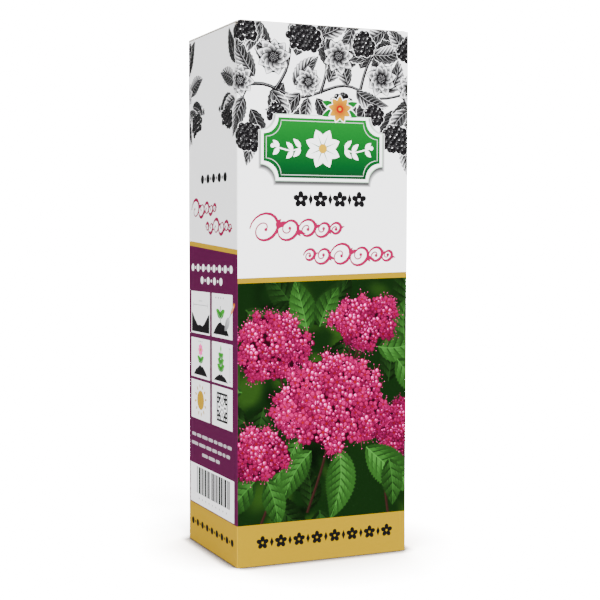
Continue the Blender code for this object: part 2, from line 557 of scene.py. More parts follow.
@dataclass
class Garland:
    """The engraved planting across the top of the carton.

    Places are on the blank, in mm from the wall's left fold; angles are in degrees.
    """

    dark_leaves: tuple = (
        (12, 222, 100, 20, 9.0), (28, 226, 80, 17, 8.0), (44, 222, 95, 19, 9.0), (60, 222, 60, 19, 8.5),
        (76, 224, 110, 18, 8.5), (22, 214, 250, 17, 8.0), (38, 208, 300, 14, 7.0), (64, 208, 250, 14, 7.5),
        (86, 218, 60, 19, 8.5), (0, 222, 120, 19, 8.5), (6, 202, 290, 17, 8.0), (79, 204, 245, 17, 8.0),
        (-6, 208, 200, 15, 7.0), (50, 238, 20, 15, 7.0), (36, 230, 60, 14, 7.5), (58, 234, 250, 14, 7.5),
        (24, 204, 262, 12, 6.5), (70, 231, 250, 14, 7.5), (44, 206, 300, 13, 7.0), (13, 234, 205, 13, 7.0),
        (33, 204, 240, 13, 6.5), (90, 209, 205, 15, 8.0), (57, 207, 245, 12, 7.0), (77, 234, 200, 14, 7.5),
    )
    stems: tuple = (
        ((-4, 211), (12, 213), (30, 208), (52, 214), (70, 209), (88, 213)),
        ((18, 211), (24, 222), (26, 241)), ((60, 212), (64, 224), (74, 240)), ((40, 210), (43, 222), (40, 240)),
        ((82, 211), (86, 201), (80, 190)), ((4, 211), (0, 200), (6, 190)),
    )
    leaves: tuple = (
        (8, 216, 122, 20, 9.0), (22, 224, 150, 17, 8.4), (25, 233, 50, 16, 7.6), (27, 213, 48, 18, 8.6),
        (30, 210, 205, 19, 8.8), (44, 215, 55, 17, 8.0), (42, 231, 140, 15, 7.4), (41, 236, 30, 15, 7.2),
        (54, 214, 110, 16, 8.0), (58, 212, 340, 18, 8.2), (63, 226, 165, 14, 7.2), (66, 229, 15, 18, 8.4),
        (72, 240, 205, 15, 7.4), (74, 212, 70, 16, 8.4), (80, 213, 15, 17, 8.4), (82, 206, 302, 18, 8.4),
        (3, 207, 244, 19, 8.6), (-2, 213, 160, 19, 8.6), (-2, 206, 205, 17, 7.6), (16, 210, 292, 17, 7.8),
        (84, 228, 128, 16, 7.8), (85, 204, 232, 15, 7.2), (0, 228, 60, 16, 7.6), (11, 240, 245, 15, 7.4),
        (56, 240, 238, 14, 7.0), (34, 208, 262, 12, 6.2), (82, 189, 283, 16, 7.2), (6, 191, 262, 14, 6.4),
    )
    bunches: tuple = (
        (33, 241, 262, 20, 1.5), (51, 211, 268, 12, 1.35), (6, 196, 262, 17, 1.45), (80, 197, 258, 20, 1.5),
        (61, 239, 278, 15, 1.4), (-10, 204, 250, 14, 1.4), (20, 205, 250, 10, 1.3), (87, 237, 250, 15, 1.4),
        (3, 241, 265, 14, 1.4), (68, 206, 262, 11, 1.35),
    )
    daisies: tuple = (
        (17, 225, 8.6), (49, 227, 8.0), (71, 218, 8.2), (1, 214, 7.0), (34, 215, 6.8), (86, 214, 7.2),
    )
    sprigs: tuple = (
        (24, 240, 40, 12), (46, 240, 100, 10), (66, 241, 130, 11), (-12, 207, 200, 10), (-9, 214, 148, 10),
        (9, 190, 300, 10),
    )

    def engrave(self, art: Artwork, start: float, seed: int, flip: bool = False) -> None:
        """Draw the planting over one broad wall and past its folds.

        Args:
            art: The blank's artwork.
            start: Place on the blank of the wall's left fold.
            seed: Start of the random draws.
            flip: Whether left and right change places.
        """
        pen = Engraver(art, seed)
        place = (lambda x: start + WIDE - x) if flip else (lambda x: start + x)
        lean = (lambda a: 180 - a) if flip else (lambda a: a)
        for x, z, angle, length in self.sprigs:
            pen.sprig((place(x), z), lean(angle), length)
        for x, z, angle, length, width in self.dark_leaves:
            pen.leaf((place(x), z), lean(angle), length, width, pen.draw.uniform(-0.12, 0.12), True)
        for points in self.stems:
            pen.stem([(place(x), z) for x, z in points])
        for x, z, angle, length, width in self.leaves:
            pen.leaf((place(x), z), lean(angle), length, width, pen.draw.uniform(-0.14, 0.14))
        for x, z, angle, count, radius in self.bunches:
            pen.bunch((place(x), z), lean(angle), count, radius)
        for x, z, radius in self.daisies:
            pen.daisy((place(x), z), radius)


@dataclass
class Bloom:
    """One domed head of small flowers: its middle, half sizes and how near it stands."""

    x: float
    z: float
    wide: float
    high: float
    floret: float
    light: float = 1.0


class Picture:
    """The full-colour planting picture on a broad wall."""

    far_blooms, far_leaves, back_leaves = 3, 7, 20
    lattice_step = 1.5
    blooms: tuple[Bloom, ...] = (
        Bloom(82.0, 57.0, 14.0, 13.5, 5.6, 0.70),
        Bloom(63.0, 108.0, 18.0, 12.0, 5.8, 0.95),
        Bloom(17.0, 97.0, 20.0, 15.5, 6.2, 1.0),
        Bloom(47.0, 71.0, 29.0, 23.5, 7.0, 1.06),
        Bloom(11.0, 50.0, 15.5, 12.5, 6.4, 0.96),
    )
    leaves: tuple = (
        (34, 104, 105, 24, 14, 0.9), (40, 106, 62, 20, 12, 0.7), (70, 96, 8, 22, 14, 0.95),
        (80, 90, 318, 24, 14, 0.85), (2, 78, 170, 14, 9, 0.7), (84, 100, 85, 18, 12, 0.6),
        (30, 56, 235, 30, 15, 0.8), (64, 50, 322, 36, 18, 1.1), (50, 50, 262, 32, 16, 1.0),
        (36, 50, 238, 26, 13, 0.9), (76, 44, 275, 22, 12, 0.65), (8, 38, 225, 22, 13, 0.75),
        (14, 38, 285, 22, 12, 0.8),
    )
    stems: tuple = (
        ((66, 104), (58, 92), (52, 74)), ((60, 104), (56, 96), (52, 84)), ((71, 104), (62, 94), (53, 84)),
        ((46, 62), (42, 44), (34, 22)), ((12, 44), (16, 32), (10, 16)), ((79, 54), (74, 36), (76, 16)),
        ((18, 92), (24, 74), (30, 60)),
    )

    def __init__(self, art: Artwork, start: float, seed: int, top_left: float, top_right: float) -> None:
        """Keep the sheet, the wall's left fold on it, and the slant of the picture's top."""
        self.art, self.start = art, start
        self.draw = random.Random(seed)
        self.top_left, self.top_right = top_left, top_right
        ranges, signs = ((-5, 90), (14, 132), (3, 9), (0.3, 0.75), (0, math.pi)), (1.0, 1.0, -1.0, 0.6)
        self.spots = [
            (*(self.draw.uniform(*ends) for ends in ranges), self.draw.choice(signs)) for _ in range(58)
        ]
        self.seen: dict[Point, Ink] = {}

    def backdrop_ink(self, x: float, z: float) -> Ink:
        """Return the soft dark green of the far leaves at a point.

        Args:
            x: Place along the blank.
            z: Height.

        Returns:
            The ink, the same for each triangle that meets there.
        """
        if (x, z) not in self.seen:
            tone = 0.0
            for sx, sz, size, squash, turn, sign in self.spots:
                dx, dz = x - self.start - sx, z - sz
                if abs(dx) > 3 * size or abs(dz) > 3 * size:
                    continue
                a = (dx * math.cos(turn) + dz * math.sin(turn)) / size
                b = (-dx * math.sin(turn) + dz * math.cos(turn)) / (size * squash)
                tone += sign * math.exp(-((a * a + b * b) ** 1.5))
            tone = max(-1.0, min(1.4, tone))
            self.seen[x, z] = mix(INK.green_dark, INK.green_deep if tone < 0 else INK.green_back, abs(tone))
        return self.seen[x, z]

    def backdrop(self, low: float) -> None:
        """Lay the far leaves, with a lattice of points for their soft tones.

        Args:
            low: Level of the picture's foot.
        """
        left, right = self.start - 0.01, self.start + WIDE + 0.01
        self.art.fill(
            [(left, low), (right, low), (right, self.top_right), (left, self.top_left)], Wash(self.backdrop_ink)
        )
        step = self.lattice_step
        for row in range(int((self.top_right - low) / step) + 1):
            for column in range(int(WIDE / step) + 1):
                x = self.start + 0.4 + (column + 0.5 * (row % 2)) * step
                self.art.lattice.append((x, low + 0.3 + row * step))

    def stem(self, points: Sequence[Point], width: float = 1.3) -> None:
        """Paint a reddish stem with a lit edge.

        Args:
            points: Points that it runs through.
            width: Its width.
        """
        line = curve([(self.start + x, z) for x, z in points], 5)
        self.art.stroke(line, width, Flat(scale(INK.stem, 0.55)))
        self.art.stroke([(x - width * 0.16, z) for x, z in line], width * 0.4, Flat(INK.stem))

    def leaf(self, x: float, z: float, angle: float, length: float, width: float, light: float) -> None:
        """Paint a toothed leaf whose halves catch the light differently.

        Args:
            x: Place of its base across the wall.
            z: Height of its base.
            angle: Direction in degrees.
            length: Length in mm.
            width: Width in mm.
            light: How brightly it is lit.
        """
        base = (self.start + x, z)
        tip = polar(base, length, math.radians(angle))
        form = LeafForm(base, tip, width, self.draw.uniform(-0.1, 0.1), teeth=max(9, int(length / 1.5)))
        bright = self.draw.choice((1, -1))
        veins = max(5, int(length / 3.2))
        for side in (1, -1):
            body = INK.green_leaf if side == bright else mix(INK.green_dark, INK.green_leaf, 0.5)
            high = mix(INK.green_leaf, INK.green_light, 0.62 if side == bright else 0.25)
            body, high = scale(body, light), scale(high, light)
            middle, far = form.edge(0.45, side, 0.05), form.edge(0.45, side, 1.0)
            self.art.fill(form.half(side), Fade(middle, far, scale(body, 0.8), body))
            for k in range(veins):
                t, after = (k + 0.3) / (veins + 0.4), (k + 1.2) / (veins + 0.4)
                root, end = form.spine(t), form.edge(min(t + 0.2, 0.97), side, 0.93)
                near, out = form.spine(min(after, 0.99)), form.edge(min(after + 0.17, 0.985), side, 0.88)
                fade = Fade(along(root, end, 0.5), along(near, out, 0.5), high, body)
                self.art.fill([root, near, out, end], fade)
                self.art.hair(root, end, 0.46, Flat(scale(body, 0.42)))
                for j in (0.35, 0.62):
                    self.art.hair(along(root, end, j), along(near, out, j + 0.16), 0.26, Flat(scale(body, 0.6)))
        rib = Flat(scale(mix(INK.green_leaf, INK.green_light, 0.85), light))
        self.art.stroke([form.spine(k / 6) for k in range(7)], [0.6, 0.54, 0.48, 0.4, 0.32, 0.24, 0.12], rib)

    def floret(self, centre: Point, size: float, light: float, edge: bool) -> None:
        """Paint one flower of five rounded petals with its pale stamens.

        Args:
            centre: Its middle on the blank.
            size: Its width in mm.
            light: How brightly it is lit.
            edge: Whether it stands at the head's rim, where the stamens show against the leaves.
        """
        draw, disc, half = self.draw, self.art.disc, size / 2
        turn = draw.uniform(0, TURN)
        lean, squash = draw.uniform(0, TURN), draw.uniform(0.66, 1.0)
        cos, sin = math.cos(lean), math.sin(lean)

        def spot(reach: float, angle: float) -> Point:
            """Return a place on the leaning flower."""
            a, b = reach * math.cos(angle - lean), reach * math.sin(angle - lean) * squash
            return (centre[0] + a * cos - b * sin, centre[1] + a * sin + b * cos)

        paleness = draw.uniform(0.0, 1.0) ** 1.6
        for k in range(5):
            angle = turn + TURN * k / 5 + draw.uniform(-0.12, 0.12)
            reach = draw.uniform(0.52, 0.6)
            lit = light * (1.0 + 0.3 * math.sin(angle + 0.6)) * draw.uniform(0.82, 1.12)
            middle, aim = spot(half * reach, angle), spot(1, angle)
            way = math.atan2(aim[1] - centre[1], aim[0] - centre[0])
            root = scale(mix(INK.magenta, INK.crimson, 0.3), light)
            tip = scale(mix(INK.magenta, INK.pink, 0.9), lit)
            disc(middle, half * 0.5, Flat(scale(INK.crimson, lit)), 9, 0.86, way)
            fade = Fade(spot(half * 0.12, angle), spot(half * 0.85, angle), root, tip)
            disc(middle, half * 0.45, fade, 9, 0.84, way)
            pale = paleness * draw.uniform(0.5, 1.2) * lit
            warm = mix(INK.pink, INK.pink_light, 0.15 + 0.7 * min(1.0, 1.4 * pale))
            glow = mix(warm, INK.pink_pale, 0.5 * pale**2)
            heart = spot(half * (reach + 0.06), angle)
            heart = (heart[0] - 0.02 * half, heart[1] + 0.07 * half)
            disc(heart, half * 0.29, Flat(scale(glow, lit)), 8, 0.78, way)
            if pale > 0.3:
                glint = (heart[0] - 0.06 * half, heart[1] + 0.08 * half)
                white = mix(glow, INK.glint, 0.25 + pale)
                disc(glint, half * 0.11, Flat(scale(white, lit)), 5, 0.8, way)
        disc(centre, half * 0.2, Flat(scale(mix(INK.crimson, INK.red, 0.55), light)), 6)
        stamens, reaches, thick, knob = (11, (1.05, 1.9), 0.3, 0.24) if edge else (6, (0.3, 0.8), 0.14, 0.17)
        for k in range(stamens):
            angle = turn + 0.6 + TURN * k / stamens + draw.uniform(-0.25, 0.25)
            end = spot(half * draw.uniform(*reaches), angle)
            hair = scale(mix(INK.pink, INK.pink_light, draw.uniform(0, 0.8)), light)
            self.art.hair(spot(half * 0.2, angle), end, thick, Flat(hair))
            dot = scale(mix(INK.pink_light, INK.pink_pale, draw.uniform(0.0, 0.9)), light)
            disc(end, knob, Flat(dot), 5, 1.0, angle)

    def bloom(self, head: Bloom) -> None:
        """Paint a domed head of small rounded clusters, its far florets first.

        Args:
            head: The head's place and size.
        """
        draw = self.draw
        centre = (self.start + head.x, head.z)
        waves = [(n, draw.uniform(0, TURN), size) for n, size in ((2, 0.05), (3, 0.05), (5, 0.04), (8, 0.03))]

        def bound(angle: float) -> float:
            """Return the head's uneven edge, as a share of its half size."""
            return 0.94 + sum(size * math.sin(n * angle + phase) for n, phase, size in waves)

        rim = []
        for angle in (TURN * k / 40 for k in range(40)):
            reach = bound(angle) * draw.uniform(0.88, 0.97)
            x, z = head.wide * reach * math.cos(angle), head.high * reach * math.sin(angle)
            rim.append((centre[0] + x, centre[1] + z))
        self.art.fill(rim, Flat(scale(INK.crimson, 0.4 * head.light)))
        lumps = []
        while len(lumps) < int(head.wide * head.high / 34):
            spot = (draw.uniform(-1, 1) * head.wide, draw.uniform(-1, 1) * head.high)
            if math.hypot(spot[0] / head.wide, spot[1] / head.high) < 0.9 and all(
                math.dist(spot, other) > 1.1 * head.floret for other in lumps
            ):
                lumps.append(spot)
        step = head.floret * 0.6
        places = []
        for row in range(int(2 * head.high / (step * 0.87)) + 2):
            z = -head.high + row * step * 0.87
            for column in range(int(2 * head.wide / step) + 2):
                x = -head.wide + (column + 0.5 * (row % 2)) * step
                x, v = x + draw.uniform(-0.3, 0.3) * step, z + draw.uniform(-0.3, 0.3) * step
                reach = math.hypot(x / head.wide, v / head.high)
                if reach < bound(math.atan2(v / head.high, x / head.wide)):
                    near = min(lumps, key=lambda lump: math.dist(lump, (x, v)))
                    off = math.dist(near, (x, v)) / (1.3 * head.floret)
                    up = (v - near[1] - x + near[0]) / head.floret
                    places.append((off + 0.4 * reach, reach, off, x, v, up))
        for _, reach, off, x, v, up in sorted(places, reverse=True):
            tilt = 1.0 - 0.22 * (x / head.wide * 0.6 - v / head.high * 0.8) - 0.14 * reach**3
            crown = 1.16 - 0.5 * min(off, 1.2) ** 2 + 0.09 * up
            light = head.light * tilt * crown * draw.uniform(0.8, 1.14)
            size = head.floret * (1.0 - 0.14 * reach * reach) * draw.uniform(0.84, 1.08)
            spot = (centre[0] + x, centre[1] + v)
            if draw.random() >= 0.1:
                self.floret(spot, size, light, reach > 0.8)
                continue
            for _ in range(4):
                bud = (spot[0] + draw.uniform(-1.3, 1.3), spot[1] + draw.uniform(-1.3, 1.3))
                for share, ink in ((0.17, INK.crimson), (0.14, INK.pink), (0.07, INK.pink_pale)):
                    lift = (0.17 - share) * head.floret * 0.5
                    place = (bud[0] - lift, bud[1] + lift)
                    self.art.disc(place, head.floret * share, Flat(scale(ink, light)), 7)

    def paint(self, low: float) -> None:
        """Paint the whole picture above a level.

        Args:
            low: Level of its foot.
        """
        self.backdrop(low)
        draw = self.draw.uniform
        for k in range(self.back_leaves):
            size = draw(18, 32)
            self.leaf(
                draw(-4, 88), draw(20, 132), draw(0, 360), size, size * draw(0.45, 0.62),
                0.16 + 0.3 * (k / 26) * draw(0.6, 1.3),
            )
        for points in self.stems:
            self.stem(points)
        far = (self.leaves[: self.far_leaves], self.blooms[: self.far_blooms])
        near = (self.leaves[self.far_leaves :], self.blooms[self.far_blooms :])
        for leaves, heads in (far, near):
            for leaf in leaves:
                self.leaf(*leaf)
            for head in heads:
                self.bloom(head)


@dataclass
class Scroll:
    """Two lines of running spirals, a classical vine scroll, slanting like a pen's flourish."""

    left: float
    low: float
    size: float = 1.0
    sweep: float = 560.0
    weight: float = 0.95
    slant: float = 0.2
    steps: int = 26
    lines: tuple = (
        (0.5, 18.4, (6.8, 5.0, 4.2, 3.6, 2.8)), (29.0, 6.6, (2.8, 3.8, 5.2, 4.6, 3.6, 2.6)),
    )

    def spot(self, x: float, z: float) -> Point:
        """Return a place of the scroll on the blank."""
        return (self.left + (x + self.slant * z) * self.size, self.low + z * self.size)

    def draw(self, art: Artwork) -> None:
        """Draw both lines of spirals, which curl over and under in turn.

        Args:
            art: The blank's artwork.
        """
        ink, fold = Flat(INK.script), 180 / self.sweep
        for x, level, radii in self.lines:
            for index, radius in enumerate(radii):
                way = 1 if index % 2 == 0 else -1
                line, widths = [], []
                for t in (k / self.steps for k in range(self.steps + 1)):
                    angle = math.radians(180 - self.sweep * t)
                    reach = radius * (1 - 0.84 * max(0.0, (t - fold) / (1 - fold)) ** 0.8)
                    rise = way * reach * math.sin(angle)
                    line.append(self.spot(x + radius + reach * math.cos(angle), level + rise))
                    swing = math.sin(math.pi * min(1.0, t * 1.6)) ** 1.5
                    widths.append((0.62 + 1.0 * swing) * self.size * self.weight)
                art.stroke(line, widths, ink)
                art.disc(line[-1], 0.8 * self.size, ink, 8)
                foot = self.spot(x + 2 * radius, level)
                for turn, reach in ((0.5, 0.85), (1.2, 0.7)):
                    tip = polar(foot, reach * radius * self.size, way * turn)
                    art.petal(foot, tip, 0.34 * radius * self.size, ink, 0.16 * way, 7)
                x += 2 * radius


@dataclass
class Row:
    """A row of ornaments: its left end and foot on the blank, its size, their number and ink."""

    left: float
    low: float
    wide: float
    high: float
    count: int
    ink: Ink = INK.black

    def fleurons(self, art: Artwork) -> None:
        """Set five-petalled flowers with a lozenge between each two.

        Args:
            art: The blank's artwork.
        """
        step, ink = (self.wide - self.high) / (self.count - 1), Flat(self.ink)
        for k in range(self.count):
            centre = (self.left + self.high / 2 + k * step, self.low + self.high / 2)
            for angle in (TURN * (turn / 5 + 0.25) for turn in range(5)):
                art.disc(polar(centre, self.high * 0.29, angle), self.high * 0.22, ink, 10, 0.8, angle)
            if k:
                art.disc((centre[0] - step / 2, centre[1]), self.high * 0.36, ink, 4, 0.42, math.pi / 2)

    def beads(self, art: Artwork) -> None:
        """Set round beads with a small dot between each two.

        Args:
            art: The blank's artwork.
        """
        step, ink = self.wide / (self.count - 0.4), Flat(self.ink)
        for k in range(self.count):
            x, z = self.left + step * (0.3 + k), self.low + self.high / 2
            art.disc((x, z), self.high * 0.5, ink, 14)
            if k:
                art.disc((x - step * 0.5, z), self.high * 0.2, ink, 8)


@dataclass
class Plaque:
    """The green plaque: soft shadow, white rim, green field, white flower, sprigs and a crest flower."""

    art: Artwork
    centre: Point
    wide: float = 58.0
    high: float = 26.5

    def outline(self, grow: float, drop: float = 0.0) -> Line:
        """Return the outline with its scooped corners.

        Args:
            grow: How far it is grown all round.
            drop: How far it is lowered.

        Returns:
            Its corners.
        """
        w, h, scoop = self.wide / 2 + grow, self.high / 2 + grow, self.high * 0.27
        line = []
        for quarter, (sx, sz) in enumerate(((1, 1), (-1, 1), (-1, -1), (1, -1))):
            corner = (self.centre[0] + sx * w, self.centre[1] - drop + sz * h)
            angles = [math.radians(270 - 10 * k) for k in range(10)]
            for a in angles[::-1] if quarter % 2 else angles:
                line.append((corner[0] + sx * scoop * math.cos(a), corner[1] + sz * scoop * math.sin(a)))
        return line

    def ground(self) -> None:
        """Lay the shadow, the rim and the green field with its thin line."""
        art, (x, z), half = self.art, self.centre, self.high / 2
        for k in range(7):
            art.fill(self.outline(2.5 - 0.24 * k, 1.0 + 0.05 * k), Flat(scale(INK.paper, 0.66 ** (k + 1))))
        art.fill(self.outline(1.45), Flat(INK.plaque_rim))
        art.fill(self.outline(1.15), Flat(INK.paper))
        art.fill(self.outline(0.0), Fade((x, z - half), (x, z + half), INK.plaque_dark, INK.plaque_light))
        line = self.outline(-1.3)
        art.stroke([*line, line[0]], 0.3, Flat(mix(INK.plaque_light, INK.paper, 0.45)))

    def flower(self) -> None:
        """Lay the white flower with its yellow eye."""
        centre, high = self.centre, self.high
        for angle in (TURN * (k + 0.5) / 8 for k in range(8)):
            root, tip, vein = (polar(centre, radius, angle) for radius in (1.5, high * 0.34, high * 0.27))
            self.art.petal(root, tip, high * 0.19, Flat(INK.paper), points=8)
            self.art.hair(polar(centre, 1.6, angle), vein, 0.5, Flat(INK.plaque_light))
        self.art.disc(centre, 2.1, Flat(INK.sun), 12)

    def sprigs(self) -> None:
        """Lay a white sprig on each side of the flower."""
        (x, z), wide, high, white = self.centre, self.wide, self.high, Flat(INK.paper)
        for side in (1, -1):
            inner, middle = (x + side * high * 0.42, z), (x + side * wide * 0.28, z - 1.2)
            spine = curve([inner, middle, (x + side * wide * 0.425, z + 0.8)], 5)
            self.art.stroke(spine, 0.62, white)
            for k in (0, 4, 8):
                for lift in (1, -1):
                    angle = (0.0 if side > 0 else math.pi) + side * lift * 0.85
                    tip = polar(spine[k], high * (0.2 - 0.005 * k), angle)
                    self.art.petal(spine[k], tip, high * 0.085, white, side * lift * 0.06, 8)
            self.art.disc(spine[-1], 1.0, white, 8)

    def crest(self) -> None:
        """Lay the orange flower with four leaves on the upper edge."""
        art, white = self.art, Flat(INK.paper)
        middle = (self.centre[0] + 8.5, self.centre[1] + self.high / 2 + 4.6)
        for angle in (math.radians(a) for a in (20, 160, 200, 340)):
            base, tip = polar(middle, 1.0, angle), polar(middle, 9.6, angle)
            art.petal(base, tip, 4.6, white, points=8)
            art.petal(base, tip, 3.4, Fade(middle, tip, INK.plaque_dark, INK.plaque_light), points=8)
        for reach, plain in ((6.6, True), (5.9, False)):
            for angle in (TURN * (k + 0.25) / 9 for k in range(9)):
                tip = polar(middle, reach, angle)
                paint = white if plain else Fade(middle, tip, INK.red, INK.sun)
                art.petal(polar(middle, 0.6, angle), tip, reach * 0.52, paint, points=7)
        art.disc(middle, 1.7, Flat(INK.red), 10)
        art.disc(middle, 0.8, Flat(INK.sun), 8)

    def lay(self) -> None:
        """Lay the whole plaque."""
        for step in (self.ground, self.flower, self.sprigs, self.crest):
            step()


@dataclass(frozen=True)
class Card:
    """One white card of the guide: its left, foot, right and top on the wall."""

    x0: float
    z0: float
    x1: float
    z1: float

    @property
    def wide(self) -> float:
        """Return its width."""
        return self.x1 - self.x0

    @property
    def high(self) -> float:
        """Return its height."""
        return self.z1 - self.z0

    @property
    def middle(self) -> float:
        """Return the middle of its width."""
        return (self.x0 + self.x1) / 2


class SidePanel:
    """The printed guide on a narrow wall, in places measured from the wall's left fold."""

    columns, rows = ((3.8, 28.6), (31.3, 56.6)), ((100.6, 120.6), (79.7, 98.5), (59.9, 78.4))
    text_rows = ((4.5, 56, 51.3), (4, 56, 47.0), (18, 43, 42.7))

    def __init__(self, art: Artwork, start: float, seed: int, mirrored: bool) -> None:
        """Keep the sheet, the wall's left fold and which way the slanted line falls."""
        self.art, self.start, self.mirrored = art, start, mirrored
        self.draw = random.Random(seed)

    def at(self, x: float, z: float) -> Point:
        """Return a place on the blank."""
        return (self.start + x, z)

    def ground(self) -> None:
        """Lay the purple field, the slanted yellow line and the yellow foot, in a yellow painted lighter to
        make up for the narrow wall's weaker light.
        """
        high, low = (140.7, 144.5) if self.mirrored else (144.5, 140.7)
        left, right = self.start, self.start + DEEP
        # painted light: this yellow is painted lighter than on the broad walls, to make up for the weaker light
        # on this wall
        for drop, ink in ((0.0, INK.yellow_side_painted_lighter), (2.2, INK.purple)):
            self.art.fill([(left, high - drop), (left, 18), (right, 18), (right, low - drop)], Flat(ink))
        self.art.box(left, FOOT, right, 18.6, Flat(INK.yellow_side_painted_lighter))

    def dashes(self, left: float, right: float, low: float) -> None:
        """Lay a row of short rounded dashes of uneven length.

        Args:
            left: Left end of the row.
            right: Right end of the row.
            low: Lower edge of the row.
        """
        x, half, ink = left, 0.8, Flat(mix(INK.purple, INK.paper, 0.4))
        while x < right - 3.0:
            size = min(self.draw.uniform(3.0, 9.0), right - x)
            points = [polar(self.at(x + half, low + half), half, math.radians(a)) for a in range(90, 271, 36)]
            heel = self.at(x + size - half, low + half)
            points += [polar(heel, half, math.radians(a)) for a in range(270, 451, 36)]
            self.art.fill(points, ink)
            x += size + 1.0

    def dots(self, x: float, z: float, step: float, count: int, radius: float, ink: Ink = INK.soil) -> None:
        """Lay a row of small dots from a place on."""
        for k in range(count):
            self.art.disc(self.at(x + step * k, z), radius, Flat(ink), 6)

    def mound(self, x: float, low: float, wide: float, high: float) -> None:
        """Draw a heap of dark soil with a broken outline.

        Args:
            x: Its middle.
            low: Its foot.
            wide: Its width.
            high: Its height.
        """
        points = [self.at(x - wide / 2, low)]
        for t in (k / 12 for k in range(1, 12)):
            rise = high * math.sin(math.pi * t) ** 0.9 * self.draw.uniform(0.88, 1.06)
            points.append(self.at(x - wide / 2 + wide * t, low + rise))
        self.art.fill([*points, self.at(x + wide / 2, low)], Flat(INK.soil))
        for _ in range(5):
            spot = self.at(x + self.draw.uniform(-0.5, 0.5) * wide, low + self.draw.uniform(-0.1, 0.5))
            self.art.disc(spot, self.draw.uniform(0.2, 0.45), Flat(INK.soil), 6)

    def sprout(self, x: float, z: float, size: float, pairs: int = 1) -> None:
        """Draw a green shoot with paired leaves.

        Args:
            x: Its place.
            z: Its foot.
            size: Length of its lowest leaves, more or less.
            pairs: Number of pairs of leaves.
        """
        art, rise = self.art, size * 0.5 * pairs
        art.stroke([self.at(x, z), self.at(x, z + size * 0.5 + rise)], size * 0.09, Flat(INK.sprout_dark))
        for k in range(pairs):
            base = self.at(x, z + size * (0.2 + 0.5 * k))
            for side in (1, -1):
                tip = polar(base, size * (0.95 - 0.14 * k), math.pi / 2 - side * 0.95)
                art.petal(base, tip, size * 0.5, Fade(base, tip, INK.sprout_dark, INK.sprout), side * 0.1, 7)
                art.hair(base, along(base, tip, 0.85), size * 0.05, Flat(mix(INK.sprout, INK.paper, 0.35)))
        if pairs > 1:
            top = self.at(x, z + size * 0.25 + rise)
            art.petal(top, polar(top, size * 0.5, math.pi / 2), size * 0.26, Flat(INK.sprout), points=6)

    def measure(self, a: Point, b: Point) -> None:
        """Draw a thin dimension line with a tick at each end.

        Args:
            a: Its start.
            b: Its end.
        """
        ends, ink = (self.at(*a), self.at(*b)), Flat(INK.grey)
        self.art.stroke(ends, 0.28, ink)
        dx, dz = (0.0, 1.1) if abs(a[1] - b[1]) < 0.1 else (1.1, 0.0)
        for x, z in ends:
            self.art.stroke([(x - dx, z - dz), (x + dx, z + dz)], 0.3, ink)

    def hole(self, card: Card) -> None:
        """Draw the dug hole with its width marked.

        Args:
            card: The card that it is on.
        """
        shares = (
            (0.03, 0.04), (0.03, 0.50), (0.10, 0.45), (0.20, 0.33), (0.28, 0.27), (0.36, 0.20), (0.48, 0.22),
            (0.60, 0.19), (0.70, 0.25), (0.78, 0.33), (0.90, 0.45), (0.97, 0.50), (0.97, 0.04),
        )
        rim = [self.at(card.x0 + card.wide * sx, card.z0 + card.high * sz) for sx, sz in shares]
        self.art.fill(rim, Flat(INK.soil))
        level = card.z0 + card.high * 0.68
        self.measure((card.x0 + card.wide * 0.12, level), (card.x0 + card.wide * 0.88, level))
        self.dots(card.x0 + card.wide * 0.43, card.z0 + card.high * 0.78, card.wide * 0.07, 3, 0.42, INK.grey)

    def trowel(self, card: Card) -> None:
        """Draw a shoot on its mound with a trowel beside it.

        Args:
            card: The card that it is on.
        """
        art, left, wide, low = self.art, card.x0, card.wide, card.z0
        self.mound(left + wide * 0.45, low + 1.4, wide * 0.78, 5.6)
        self.sprout(left + wide * 0.42, low + 7.2, 7.2)
        heel, end = self.at(left + wide * 0.62, low + 3.4), self.at(left + wide * 1.1, low + 16.2)
        neck = along(heel, end, 0.5)
        art.petal(neck, heel, 4.4, Fade(heel, neck, INK.steel_dark, INK.steel), points=7)
        art.hair(neck, along(neck, heel, 0.8), 0.5, Flat(INK.steel_light))
        art.stroke([neck, along(neck, end, 0.3)], 0.6, Flat(INK.iron))
        grip = [along(neck, end, t) for t in (0.28, 0.45, 0.7, 0.9, 1.0)]
        art.stroke(grip, [1.2, 1.75, 1.5, 2.0, 1.1], Fade(grip[0], grip[-1], INK.wood, scale(INK.wood, 0.7)))
        art.stroke([along(neck, end, 0.4), along(neck, end, 0.85)], 0.35, Flat(mix(INK.wood, INK.paper, 0.5)))
        self.dots(left + wide * 0.2, card.z1 - 1.9, wide * 0.12, 4, 0.45)

    def flower(self, card: Card) -> None:
        """Draw a flowering plant on its mound.

        Args:
            card: The card that it is on.
        """
        middle, low = card.middle, card.z0
        self.mound(middle, low + 1.3, card.wide * 0.74, 4.6)
        self.sprout(middle, low + 5.8, 5.8)
        head = self.at(middle, low + 13.4)
        self.art.stroke([self.at(middle, low + 8), head], 0.4, Flat(INK.sprout_dark))
        for angle in (TURN * k / 8 for k in range(8)):
            self.art.petal(polar(head, 0.5, angle), polar(head, 3.2, angle), 2.1, Flat(INK.petal), points=6)
        self.art.disc(head, 0.85, Flat(INK.sun), 8)
        self.dots(middle - 2, card.z1 - 1.5, 2, 3, 0.4)

    def tall(self, card: Card) -> None:
        """Draw a leafy plant with its height marked.

        Args:
            card: The card that it is on.
        """
        middle = card.x0 + card.wide * 0.44
        self.mound(middle, card.z0 + 1.2, card.wide * 0.68, 3.2)
        self.sprout(middle, card.z0 + 4.2, 6.0, 3)
        self.measure((card.x1 - 3.2, card.z0 + 2.0), (card.x1 - 3.2, card.z1 - 2.0))

